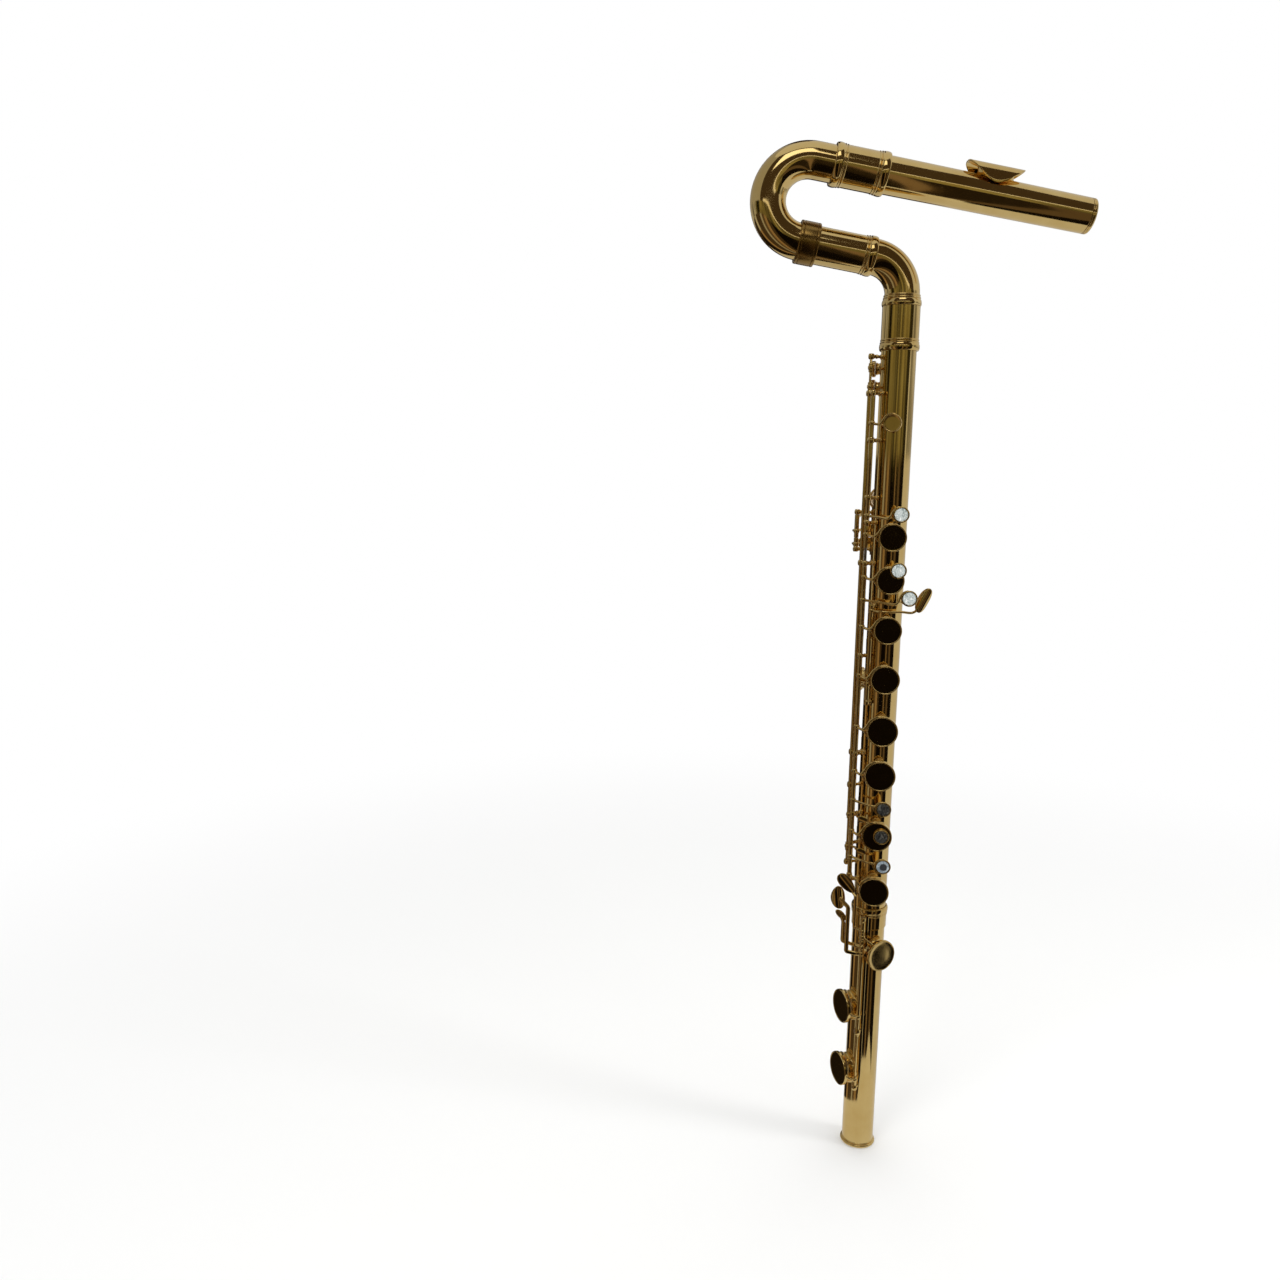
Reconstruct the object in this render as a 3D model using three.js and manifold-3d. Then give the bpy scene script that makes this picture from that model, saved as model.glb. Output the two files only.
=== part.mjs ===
// A bass flute standing upright: the foot end is at the origin, the body tube runs up +Z,
// the key cups face -Y and their hinge rods stand on the -X side. All lengths are millimetres.
import * as THREE from 'three';
import { mergeVertices } from 'three/addons/utils/BufferGeometryUtils.js';
import Module from 'manifold-3d';

const wasm = await Module();
wasm.setup();

const degrees = THREE.MathUtils.degToRad;
const fullTurn = 2 * Math.PI;
const quarterTurn = Math.PI / 2;

// Clearances and working lengths
const fitGap = 0.3;
const overrun = 3;
const weldDepth = 0.5;
const mergeDistance = 1e-4;

// Main tube
const boreRadius = 15;
const tubeWall = 0.8;
const tubeRadius = boreRadius + tubeWall;
const footSocketDepth = 21;
const ringBulge = 1.1;
const ringLength = 6;
const sleeveWall = 0.8;
const endBeadRadius = 17.5;
const endBeadLength = 3.2;

// Barrel at the top of the body: how far it laps the body, and the gap left at the elbow's tenon
const barrelLength = 39.3;
const barrelLap = 5.5;
const barrelWall = 1;
const tenonGap = 0.5;

// Elbow and head
const elbowRadius = 33.3;
const elbowRise = 10.2;
const headSlope = degrees(10);
const elbowTenonLength = barrelLength - barrelLap - tenonGap;
const neckTenonLength = 14;
const neckWall = 0.5;
const neckRun = 69.5;
const bendLead = 1;
const bendRadius = 35.3;
const bendTubeRadius = 16.15;
const bendWall = 0.8;
const collarRadius = 19;
const collarStart = 53;
const collarLength = 18;
const socketStart = 54;
const socketLength = 49;
const socketWall = 1.2;
const socketTenon = 13;
const headTubeWideRadius = 16.5;
const headTubeCrownRadius = 15.5;
const headTubeWall = 0.8;
const headLength = 184.7;
const crownFlange = 4.4;
const crownDome = 1.5;
const crownPlugLength = 9;
const embouchureSetback = 88.3;
const embouchureLength = 15;
const embouchureWidth = 12.5;
const riserWall = 1.6;
const lipLength = 55.5;
const lipWidth = 31.6;
const lipThickness = 1.5;
const lipCurveRadius = 18;
const lipRise = 8.3;
const corkSetback = 27;
const corkLength = 20;
const stopperPlateThickness = 1.5;
const screwRadius = 2.6;
const stopperClearance = 0.6;

// Key cups, pads and chimneys
const chimneyHeight = 3.6;
const chimneyWall = 1.2;
const cupOverlap = 2.3;
const cupWall = 0.8;
const cupEdge = 0.6;
const padThickness = 2.8;
const padProud = 0.8;
const rimRadius = tubeRadius + chimneyHeight;
const cupTop = rimRadius + fitGap + padThickness + fitGap + cupWall;

// Hinges
const steelRadius = 1.4;
const hingeTubeRadius = 2.2;
const innerRodRadius = 1.2;
const nestedTubeRadius = 1.95;
const armRadius = 1.2;
const forkReach = 3;
const mainHinge = { x: -24.5, y: -13 };
const trillHinge = { x: -26.5, y: -6 };
const sharpHinge = { x: -16.5, y: -14 };
const thumbHinge = { x: -29.5, y: 8 };
const footHinge = { x: -10, y: -19.5 };
const rowOpening = degrees(7);
const footOpening = degrees(8);
const thumbOpening = degrees(6);

// Tone holes: spacing above the hole before, angle round the tube from the front, cup radius
const rowAngle = degrees(-3);
const footSideAngle = degrees(-81);
const trillAngle = degrees(-110);
const trillCup = 7.4;
const trillCupGap = 2.2;
const holes = {
  lowC: { spacing: 82.5, angle: footSideAngle, cup: 16.6 },
  lowCSharp: { spacing: 68.5, angle: footSideAngle, cup: 16.6 },
  eFlat: { spacing: 62, angle: degrees(25), cup: 15.8 },
  d: { spacing: 68, angle: rowAngle, cup: 14.5 },
  e: { spacing: 56.5, angle: rowAngle, cup: 14.5 },
  f: { spacing: 60.5, angle: rowAngle, cup: 14.8 },
  fSharp: { spacing: 44, angle: rowAngle, cup: 14.8 },
  gSharp: { spacing: 44, angle: degrees(-125), cup: 11.5 },
  gLower: { spacing: 6, angle: rowAngle, cup: 13.8 },
  g: { spacing: 47, angle: rowAngle, cup: 13.2 },
  a: { spacing: 47, angle: rowAngle, cup: 13 },
  bFlat: { spacing: 40, angle: rowAngle, cup: 13 },
  thumb: { spacing: 34, angle: degrees(-172), cup: 11.8 },
  cSharp: { spacing: 70, angle: degrees(-17.5), cup: 8.4 },
  trillOne: { spacing: 33, angle: trillAngle, cup: trillCup },
  trillTwo: { spacing: 2 * trillCup + trillCupGap, angle: trillAngle, cup: trillCup },
};
Object.values(holes).reduce((below, hole) => {
  hole.height = below + hole.spacing;
  return hole.height;
}, 0);

// Posts and ribs
const ribThickness = 1.2;
const stemRadius = 1.5;
const ballRadius = 2.7;
const ballHalfLength = 2.5;
const guideWall = 0.9;
const needleRadius = 0.35;
const needleLength = 16;
const tabHalfWidth = 3.5;
const strapMargin = 5;
const strapLap = degrees(2);
const mainStrapEdge = degrees(-56);
const trillStrapEdge = degrees(-82);
const sharpTabEdge = degrees(-45);
const thumbStrapHalfAngle = degrees(9);
const footStrapLowEdge = degrees(-42);
const footStrapHighEdge = degrees(-13);

// How far each post stands above the hole beside it, or below where it is negative. The key tubes
// between the posts follow them.
const postRises = {
  bottom: 8, d: -10.5, e: 19.5, f: 19, g: -26, middle: 15, upper: 13, top: -6, trillTop: 10,
  thumbLow: -47, thumbHigh: -12, footTop: 37, footMiddle: 13, footGuide: -20, footBottom: -12.5,
};
const bottomPost = holes.d.height + postRises.bottom;
const dPost = holes.e.height + postRises.d;
const ePost = holes.e.height + postRises.e;
const fPost = holes.f.height + postRises.f;
const gPost = holes.g.height + postRises.g;
const middlePost = holes.a.height + postRises.middle;
const upperPost = holes.bFlat.height + postRises.upper;
const topPost = holes.trillOne.height + postRises.top;
const trillTopPost = holes.trillTwo.height + postRises.trillTop;
const trillPostRise = 16;
const trillBottomPost = bottomPost + trillPostRise;
const longTubeGuideRises = [75.5, 23];
const longTubeGuides = longTubeGuideRises.map((rise) => upperPost + rise);
const trillLowGuideRise = 27;
const trillGuides = [topPost, middlePost, fPost, ePost + trillLowGuideRise];
const thumbPosts = [postRises.thumbLow, postRises.thumbHigh].map((rise) => holes.thumb.height + rise);
const footTopPost = holes.eFlat.height + postRises.footTop;
const footMiddlePost = holes.eFlat.height + postRises.footMiddle;
const footGuide = holes.lowCSharp.height + postRises.footGuide;
const footBottomPost = holes.lowC.height + postRises.footBottom;

// Ends of the foot's socket, the body and the barrel, clear of the holes and straps beside them
const socketRise = 46;
const strapGap = 0.5;
const footSocketTop = holes.eFlat.height + socketRise;
const barrelLow = trillTopPost + strapMargin + strapGap;
const barrelHigh = barrelLow + barrelLength;
const bodyTop = barrelLow + barrelLap;

// Pearl holders and finger plates
const holderRadius = 7.5;
const holderDepth = 2.6;
const holderWall = 0.9;
const holderFloor = 1;
const pearlCrown = 0.8;
const plateThickness = 2;
const touchDepth = 24.6;
const touchRises = { cSharp: 8.5, a: 10, g: -15.5, f: 9.5, e: 1, d: -18 };
const touches = {
  cSharp: { x: 5, y: -touchDepth, z: upperPost + touchRises.cSharp },
  a: { x: 5.5, y: weldDepth / 2 - cupTop, z: holes.a.height + touchRises.a },
  g: { x: 16.5, y: -touchDepth, z: holes.a.height + touchRises.g },
  f: { x: 3.4, y: -touchDepth, z: ePost + touchRises.f },
  e: { x: 3, y: weldDepth / 2 - cupTop, z: holes.e.height + touchRises.e },
  d: { x: 5.8, y: -touchDepth, z: dPost + touchRises.d },
};

// Finger keys: how the arms leave the hinge tubes, and the lengths of the tubes that share a span
const armUpperTurn = degrees(52);
const armLowerTurn = degrees(-38);
const armLift = 2;
const dArmLift = 13.5;
const touchArmLift = 4;
const bFlatTubeStart = 12;
const aTubeLength = 22;
const gLowerTubeLength = 26;

// G sharp lever, arm and finger plate. The lever crosses above the G cup and under its own post.
const sharpLeverGap = 3.1;
const sharpPostGap = 0.8;
const sharpPostDrop = 18;
const sharpLeverHeight = holes.g.height + holes.g.cup + sharpLeverGap + armRadius;
const sharpLever = { height: sharpLeverHeight, depth: -20.5, reach: 21 };
const sharpPosts = [
  holes.gSharp.height - sharpPostDrop, sharpLeverHeight + armRadius + sharpPostGap + ballHalfLength,
];
const sharpTip = { x: 35, rise: 19 };
const sharpPlate = { length: 25, width: 9 };
const sharpArmX = -20.4;

// Trill levers, collars and finger plates
const collarLengthOnRod = 8;
const trillLeverDrops = [3.3, 6];
const trillLeverHeights = [ePost - trillLeverDrops[0], dPost - trillLeverDrops[1]];
const trillLane = { x: -19.5, y: -9.5 };
const trillPlate = { x: -16.3, y: -21.5, length: 10, width: 7, tilt: degrees(-20) };

// The E key's tube ends below the upper trill lever, and a sleeve on the post fills the rod above it
const trillLeverRoom = 1.1;
const eTubeTop = trillLeverHeights[0] - armRadius - trillLeverRoom;

// Thumb plates: the B flat lever's lies just above the low post, and the other above it
const thumbPlate = { length: 20, width: 11, depth: 27 };
const leverInset = 0.5;
const thumbPlateGap = 1.5;
const flatTouch = { x: -13, z: thumbPosts[0] + ballHalfLength + fitGap + armRadius + leverInset };
const thumbTouch = { x: -10, z: flatTouch.z + thumbPlate.width + thumbPlateGap };
const thumbArmDepth = 20;

// Foot levers: where they bend, the lanes where they run up, how far up, and their finger plates
const footLeverGap = 1.3;
const footLeverStep = 6.5;
const eFlatLeverRise = 12;
const lowCLever = {
  height: footMiddlePost - ballHalfLength - footLeverGap - armRadius, laneRise: 22, rise: 30,
  bend: { x: -16.5, y: -12 }, lane: { x: -27.5, y: -6.5 }, touch: { x: -27.3, y: -6.5 },
};
const lowCPlate = { length: 15, width: 5.5, tilt: degrees(135) };
const lowCSharpLever = {
  height: lowCLever.height - footLeverStep, laneRise: 43.5, rise: 55.5,
  bend: { x: -15.7, y: -19.2 }, lane: { x: -21.5, y: -16.5 }, touch: { x: -30.2, y: -9.2 },
};
const lowCSharpPlate = { length: 26, width: 12, tilt: degrees(100) };
const eFlatLever = {
  height: footMiddlePost + eFlatLeverRise, laneRise: 34, rise: 50.5,
  lane: { x: -18, y: -13.5 }, touch: { x: -29.5, y: -20 },
};
const eFlatPlate = { length: 26, width: 11, tilt: degrees(130) };
const eFlatArmRise = 6;
const eFlatArmTurn = degrees(130);
const footArmBow = 2;
const footArmDrop = 4;

// Facets of the round pieces
const tubeSides = 18;
const bendSteps = 11;
const elbowSteps = 6;
const cupSides = 10;
const pinSides = 8;
const armSides = 5;
const armSteps = 4;
const plateCorners = 10;
const needleSides = 4;
const strapTurns = 3;

// Materials
const metal = (color, roughness) => new THREE.MeshStandardMaterial({ color, roughness, metalness: 1 });
const soft = (color, roughness) => new THREE.MeshStandardMaterial({ color, roughness, metalness: 0 });
const goldLacquer = metal(0xc8a24e, 0.15);
const satinBrass = metal(0x7a5a28, 0.45);
const hingeSteel = metal(0x9a9a9c, 0.3);
const padSkin = soft(0xd8c8a4, 0.7);
const whitePearl = soft(0xe9ecec, 0.2);
const darkPearl = soft(0x3a3c3e, 0.2);
const corkBrown = soft(0xb48a5a, 0.9);

const flute = new THREE.Group();

// Turns a three.js geometry into a solid that can be joined and cut.
function solidFrom(geometry) {
  const bare = geometry.index ? geometry.toNonIndexed() : geometry.clone();
  bare.deleteAttribute('normal');
  bare.deleteAttribute('uv');
  const merged = mergeVertices(bare, mergeDistance);
  const corners = merged.index.array;
  const kept = [];
  for (let i = 0; i < corners.length; i += 3) {
    const [a, b, c] = corners.slice(i, i + 3);
    if (a !== b && b !== c && c !== a) kept.push(a, b, c);
  }
  const vertProperties = merged.attributes.position.array;
  return new wasm.Manifold(new wasm.Mesh({ numProp: 3, vertProperties, triVerts: new Uint32Array(kept) }));
}

const join = (...solids) => solids.reduce((whole, solid) => whole.add(solid));
const cut = (solid, ...tools) => tools.reduce((rest, tool) => rest.subtract(tool), solid);

function addPiece(group, name, solid, material) {
  const { vertProperties, triVerts } = solid.getMesh();
  const geometry = new THREE.BufferGeometry();
  geometry.setAttribute('position', new THREE.BufferAttribute(vertProperties, 3));
  geometry.setIndex(new THREE.BufferAttribute(triVerts, 1));
  geometry.computeVertexNormals();
  const mesh = new THREE.Mesh(geometry, material);
  mesh.name = name;
  group.add(mesh);
}

// A turned solid about +Z. The profile is a list of [radius, height] pairs that starts and ends
// on the axis or closes on itself, and runs outwards along its lower side.
function turned(profile, sides) {
  const points = profile.map(([radius, height]) => new THREE.Vector2(radius, height));
  return new THREE.LatheGeometry(points, sides).rotateX(quarterTurn);
}

const rod = (radius, low, high, sides) =>
  turned([[0, low], [radius, low], [radius, high], [0, high]], sides);

const sleeve = (inner, outer, low, high, sides) =>
  turned([[inner, low], [outer, low], [outer, high], [inner, high], [inner, low]], sides);

const at = (x, y, z) => new THREE.Vector3(x, y, z);
const outwardAt = (angle) => new THREE.Vector3(Math.sin(angle), -Math.cos(angle), 0);
const sidewaysAt = (angle) => new THREE.Vector3(Math.cos(angle), Math.sin(angle), 0);
const angleOf = (hinge) => Math.atan2(hinge.x, -hinge.y);
const distanceOf = (hinge) => Math.hypot(hinge.x, hinge.y);

// Turns a geometry's +Z to point straight out of the tube and sets it at a distance and height.
function faceOut(geometry, angle, distance, height) {
  const out = outwardAt(angle).multiplyScalar(distance);
  return geometry.rotateX(quarterTurn).rotateZ(angle).translate(out.x, out.y, height);
}

function roundSection(radius, sides) {
  const corner = (i) => new THREE.Vector2(
    radius * Math.cos(fullTurn * i / sides), radius * Math.sin(fullTurn * i / sides));
  return Array.from({ length: sides }, (_, i) => corner(i));
}

const prism = (outline, depth) =>
  new THREE.ExtrudeGeometry(new THREE.Shape(outline), { depth, bevelEnabled: false });

// A rod whose axis is a hinge's axis
const rodOn = (hinge, radius, low, high) =>
  solidFrom(rod(radius, low, high, pinSides).translate(hinge.x, hinge.y, 0));

// A round bar swept along a smooth curve through the points.
function swept(points, radius, steps = armSteps, sides = armSides) {
  const shape = new THREE.Shape(roundSection(radius, sides));
  const path = new THREE.CatmullRomCurve3(points, false, 'centripetal');
  return solidFrom(new THREE.ExtrudeGeometry(shape, { steps, extrudePath: path }));
}

// A solid bar of the tubes' section swept along a bend.
function sweptTube(path, radius) {
  const shape = new THREE.Shape(roundSection(radius, tubeSides));
  return solidFrom(new THREE.ExtrudeGeometry(shape, { steps: path.arcSteps + 2, extrudePath: path }));
}

// Chimney, cup and pad of one tone hole
const chimneyRadius = (hole) => hole.cup - cupOverlap;

function chimneyAt(hole, grow = 0) {
  const chimney = rod(chimneyRadius(hole) + grow, 0, rimRadius, cupSides);
  return solidFrom(faceOut(chimney, hole.angle, 0, hole.height));
}

function holeThrough(hole) {
  const opening = rod(chimneyRadius(hole) - chimneyWall, 0, rimRadius + overrun, cupSides);
  return solidFrom(faceOut(opening, hole.angle, 0, hole.height));
}

function cupAt(hole) {
  const low = rimRadius + fitGap + padProud;
  const ceiling = cupTop - cupWall;
  const inside = hole.cup - cupWall;
  const profile = [
    [0, ceiling], [inside, ceiling], [inside, low], [hole.cup, low],
    [hole.cup, cupTop - cupEdge], [hole.cup - cupEdge, cupTop], [0, cupTop],
  ];
  return solidFrom(faceOut(turned(profile, cupSides), hole.angle, 0, hole.height));
}

// The inside of a cup, kept clear of whatever joins its wall.
function cupHollow(hole) {
  const hollow = rod(hole.cup - cupWall, rimRadius, cupTop - cupWall, cupSides);
  return solidFrom(faceOut(hollow, hole.angle, 0, hole.height));
}

function padAt(hole) {
  const low = rimRadius + fitGap;
  const pad = rod(hole.cup - cupWall - fitGap, low, low + padThickness, cupSides);
  return solidFrom(faceOut(pad, hole.angle, 0, hole.height));
}

// The forked arm that joins a hinge tube to the edge of a round cup or holder. The rim point at
// turn 0 is the one nearest the hinge, and positive turns climb towards the head.
function forkedArm(hinge, armHeight, disc, upperTurn, lowerTurn) {
  const sideways = sidewaysAt(disc.angle);
  const toHinge = at(hinge.x, hinge.y, disc.center.z).sub(disc.center);
  const side = Math.sign(toHinge.dot(sideways));
  const rimPoint = (turn, radius) => disc.center.clone()
    .addScaledVector(sideways, side * radius * Math.cos(turn))
    .add(at(0, 0, radius * Math.sin(turn)));
  const start = at(hinge.x, hinge.y, armHeight);
  const fork = rimPoint(0, disc.radius + forkReach).setZ(armHeight);
  const ends = disc.radius - weldDepth;
  const outer = disc.radius + armRadius;
  const upper = [start, fork, rimPoint(upperTurn / 2, outer), rimPoint(upperTurn, ends)];
  const lower = [fork, rimPoint(lowerTurn / 2, outer), rimPoint(lowerTurn, ends)];
  return join(swept(upper, armRadius), swept(lower, armRadius, 2));
}

const cupDisc = (hole) => ({
  center: outwardAt(hole.angle).multiplyScalar(cupTop - cupWall - armRadius).setZ(hole.height),
  radius: hole.cup,
  angle: hole.angle,
});

// A pearl holder faces the front with its back at the given place.
function holderAt(place) {
  const inside = holderRadius - holderWall;
  const profile = [
    [0, 0], [holderRadius, 0], [holderRadius, holderDepth], [inside, holderDepth],
    [inside, holderFloor], [0, holderFloor],
  ];
  return solidFrom(faceOut(turned(profile, cupSides), 0, 0, 0).translate(place.x, place.y, place.z));
}

function pearlAt(place) {
  const radius = holderRadius - holderWall - fitGap;
  const low = holderFloor + fitGap;
  const profile = [[0, low], [radius, low], [radius, holderDepth], [0, holderDepth + pearlCrown]];
  return solidFrom(faceOut(turned(profile, cupSides), 0, 0, 0).translate(place.x, place.y, place.z));
}

const holderDisc = (place) => ({
  center: at(place.x, place.y - holderDepth / 2, place.z),
  radius: holderRadius,
  angle: 0,
});

// The inside of a holder, kept clear of the arms that join its wall.
function pearlRecess(place) {
  const recess = rod(holderRadius - holderWall, holderFloor, holderDepth + overrun, cupSides);
  return solidFrom(faceOut(recess, 0, 0, 0).translate(place.x, place.y, place.z));
}

// A flat oval finger plate that faces the front, its length tilted up from +X.
function fingerPlate(center, { length, width, tilt }) {
  const corner = (turn) => new THREE.Vector2(length / 2 * Math.cos(turn), width / 2 * Math.sin(turn));
  const outline = Array.from({ length: plateCorners }, (_, i) => corner(fullTurn * i / plateCorners));
  const plate = prism(outline, plateThickness);
  plate.translate(0, 0, -plateThickness / 2).rotateZ(tilt).rotateX(quarterTurn);
  return solidFrom(plate.translate(center.x, center.y, center.z));
}

// A point in the wall of a cup: turn 0 is its side towards +X, and positive turns climb.
const cupPoint = (hole, turn) => outwardAt(hole.angle).multiplyScalar(cupTop - cupWall - armRadius)
  .addScaledVector(sidewaysAt(hole.angle), (hole.cup - weldDepth) * Math.cos(turn))
  .add(at(0, 0, hole.height + (hole.cup - weldDepth) * Math.sin(turn)));

// The point in a cup's wall that lies nearest to the front.
const frontRim = (hole) => cupPoint(hole, 0);

// One key: everything is placed as it lies when closed, and the group turns about the hinge to
// the rest position. The inside of the hinge tube is cut last, through whatever joins it.
function addKey(key) {
  const { name, hinge, tube, rest, metals, parts = [], hollows = [] } = key;
  const { inner = steelRadius, outer = hingeTubeRadius } = key;
  const group = new THREE.Group();
  group.position.set(hinge.x, hinge.y, 0);
  group.rotation.z = rest;
  const [low, high] = tube;
  let body = cut(join(rodOn(hinge, outer, low, high), ...metals), ...hollows);
  if (inner > 0) body = body.subtract(rodOn(hinge, inner + fitGap, low - overrun, high + overrun));
  addPiece(group, name, body.translate([-hinge.x, -hinge.y, 0]), goldLacquer);
  for (const [partName, solid, material] of parts) {
    addPiece(group, partName, solid.translate([-hinge.x, -hinge.y, 0]), material);
  }
  flute.add(group);
}

// Span of a hinge tube between two posts, clear of both
const between = (low, high) => [low + ballHalfLength + fitGap, high - ballHalfLength - fitGap];

// Foot joint: a tube with a beaded end, and a socket that takes the body's tenon.
function footTube() {
  const socketLow = footSocketTop - footSocketDepth;
  const socketInner = tubeRadius + fitGap;
  const socketOuter = socketInner + sleeveWall;
  const ringOuter = socketOuter + ringBulge;
  const profile = [
    [boreRadius, 0], [endBeadRadius - ringBulge, 0], [endBeadRadius, endBeadLength / 2],
    [endBeadRadius - ringBulge, endBeadLength], [tubeRadius, endBeadLength + ringBulge],
    [tubeRadius, socketLow - sleeveWall], [socketOuter, socketLow],
    [socketOuter, footSocketTop - ringLength], [ringOuter, footSocketTop - ringLength + ringBulge],
    [ringOuter, footSocketTop - ringBulge], [socketOuter, footSocketTop],
    [socketInner, footSocketTop], [socketInner, socketLow], [boreRadius, socketLow], [boreRadius, 0],
  ];
  const { lowC, lowCSharp, eFlat } = holes;
  return tubeWithHoles(turned(profile, tubeSides), [lowC, lowCSharp, eFlat], 0, footSocketTop);
}

// A tube with its chimneys joined on, bored through and opened at each tone hole.
function tubeWithHoles(profile, list, low, high) {
  const bore = solidFrom(rod(boreRadius, low - overrun, high + overrun, tubeSides));
  const chimneys = list.map((hole) => cut(chimneyAt(hole), bore));
  return cut(join(solidFrom(profile), ...chimneys), ...list.map(holeThrough));
}

function bodyTube() {
  const low = footSocketTop - footSocketDepth + fitGap;
  const { d, e, f, fSharp, gLower, gSharp, g, a, bFlat, thumb, cSharp, trillOne, trillTwo } = holes;
  const list = [d, e, f, fSharp, gLower, gSharp, g, a, bFlat, thumb, cSharp, trillOne, trillTwo];
  return tubeWithHoles(sleeve(boreRadius, tubeRadius, low, bodyTop, tubeSides), list, low, bodyTop);
}

// The barrel: a sleeve with a raised ring at its low end, turned about +Z.
const barrelOuter = tubeRadius + fitGap + barrelWall;

function barrel() {
  const inner = tubeRadius + fitGap;
  const ringOuter = barrelOuter + ringBulge;
  return solidFrom(turned([
    [inner, barrelLow], [barrelOuter, barrelLow], [ringOuter, barrelLow + ringBulge],
    [ringOuter, barrelLow + ringLength - ringBulge], [barrelOuter, barrelLow + ringLength],
    [barrelOuter, barrelHigh], [inner, barrelHigh], [inner, barrelLow],
  ], tubeSides));
}

// The elbow: a tenon down into the barrel, a shoulder ring that tapers up its straight stretch, a
// bend, and a tenon into the neck sleeve.
const elbowLow = barrelHigh + fitGap;
const elbowBendStart = elbowLow + elbowRise;
const elbowTurn = quarterTurn - headSlope;
const elbowEnd = {
  x: elbowRadius * (Math.cos(elbowTurn) - 1),
  z: elbowBendStart + elbowRadius * Math.sin(elbowTurn),
};

// A straight lead-in, an arc and a straight lead-out in the XZ plane. The facets end where the
// bend does: each straight takes one step of the sweep and the arc takes the others.
class ArcWithEnds extends THREE.Curve {
  constructor({ start, heading, leadIn, radius, turn, leadOut, arcSteps }) {
    super();
    Object.assign(this, { start, heading, leadIn, radius, turn, leadOut, arcSteps });
  }

  getUtoTmapping(share) {
    return share;
  }

  getPoint(share, target = new THREE.Vector3()) {
    const step = share * (this.arcSteps + 2);
    const before = Math.min(step, 1) * this.leadIn;
    const turned = Math.min(Math.max(step - 1, 0) / this.arcSteps, 1) * this.turn;
    const after = Math.max(step - 1 - this.arcSteps, 0) * this.leadOut;
    const from = this.heading;
    const to = from + turned;
    const reach = Math.sign(this.turn) * this.radius;
    const x = before * Math.cos(from) + reach * (Math.sin(to) - Math.sin(from)) + after * Math.cos(to);
    const z = before * Math.sin(from) - reach * (Math.cos(to) - Math.cos(from)) + after * Math.sin(to);
    return target.set(this.start.x + x, 0, this.start.z + z);
  }
}

const hollowSweep = (makePath, outer, inner) =>
  cut(sweptTube(makePath(0), outer), sweptTube(makePath(overrun), inner));

function elbow() {
  const makePath = (extra) => new ArcWithEnds({
    start: { x: 0, z: barrelHigh - elbowTenonLength - extra }, heading: quarterTurn,
    leadIn: elbowTenonLength + fitGap + elbowRise + extra, radius: elbowRadius, turn: elbowTurn,
    leadOut: neckTenonLength + extra, arcSteps: elbowSteps,
  });
  const bend = hollowSweep(makePath, tubeRadius, boreRadius);
  const inner = tubeRadius - weldDepth;
  const shoulder = solidFrom(turned([
    [inner, elbowLow], [barrelOuter, elbowLow], [barrelOuter + ringBulge, elbowLow + ringBulge],
    [barrelOuter + ringBulge, elbowLow + ringLength - ringBulge], [tubeRadius + fitGap, elbowBendStart],
    [inner, elbowBendStart], [inner, elbowLow],
  ], tubeSides));
  return join(bend, shoulder);
}

// The head pieces are turned about +Z and laid along -X from the elbow's end, then the whole
// head group is sloped.
const layBack = (geometry, height) => geometry.rotateY(-quarterTurn).translate(0, 0, height);
const upperAxis = 2 * bendRadius;

function neckSleeve() {
  const inner = tubeRadius + fitGap;
  const outer = inner + neckWall;
  const ringOuter = outer + ringBulge;
  const end = neckRun - bendLead - fitGap;
  const profile = [
    [inner, 0], [outer, 0], [ringOuter, ringBulge], [ringOuter, ringLength - ringBulge],
    [outer, ringLength], [outer, end], [inner, end], [inner, 0],
  ];
  return solidFrom(layBack(turned(profile, tubeSides), 0));
}

function bendCollar() {
  const sleeveOuter = tubeRadius + fitGap + neckWall;
  const inner = sleeveOuter + fitGap;
  const high = collarStart + collarLength;
  const profile = [
    [inner, collarStart], [collarRadius - ringBulge, collarStart], [collarRadius, collarStart + ringBulge],
    [collarRadius, high - ringBulge], [collarRadius - ringBulge, high], [inner, high], [inner, collarStart],
  ];
  return solidFrom(layBack(turned(profile, tubeSides), 0));
}

function headBend() {
  const makePath = (extra) => new ArcWithEnds({
    start: { x: bendLead - neckRun + extra, z: 0 }, heading: Math.PI, leadIn: bendLead + extra,
    radius: bendRadius, turn: -Math.PI, leadOut: neckRun - socketStart + socketTenon + extra,
    arcSteps: bendSteps,
  });
  return hollowSweep(makePath, bendTubeRadius, bendTubeRadius - bendWall);
}

// The socket holds the bend's end at one side and the head tube's tenon at the other.
function bendSocket() {
  const bendInner = bendTubeRadius + fitGap;
  const headInner = headTubeWideRadius + fitGap;
  const outer = headInner + socketWall;
  const ringOuter = outer + ringBulge;
  const low = socketStart - socketLength;
  const step = socketStart - socketTenon - fitGap;
  const profile = [
    [headInner, low], [outer, low], [ringOuter, low + ringBulge], [ringOuter, low + ringLength - ringBulge],
    [outer, low + ringLength], [outer, socketStart - ringLength],
    [ringOuter, socketStart - ringLength + ringBulge], [ringOuter, socketStart - ringBulge],
    [bendInner + sleeveWall, socketStart], [bendInner, socketStart],
    [bendInner, step], [headInner, step], [headInner, low],
  ];
  return solidFrom(layBack(turned(profile, tubeSides), upperAxis));
}

// The head tube runs on +X from its tenon in the socket to the crown, narrowing past the socket.
const headTenonStart = -(socketStart - socketTenon - 2 * fitGap);
const socketMouth = socketLength - socketStart;
const headEnd = socketMouth + headLength;
const layOut = (geometry, height) => geometry.rotateY(quarterTurn).translate(0, 0, height);
const embouchurePlace = headEnd - embouchureSetback;

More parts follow.
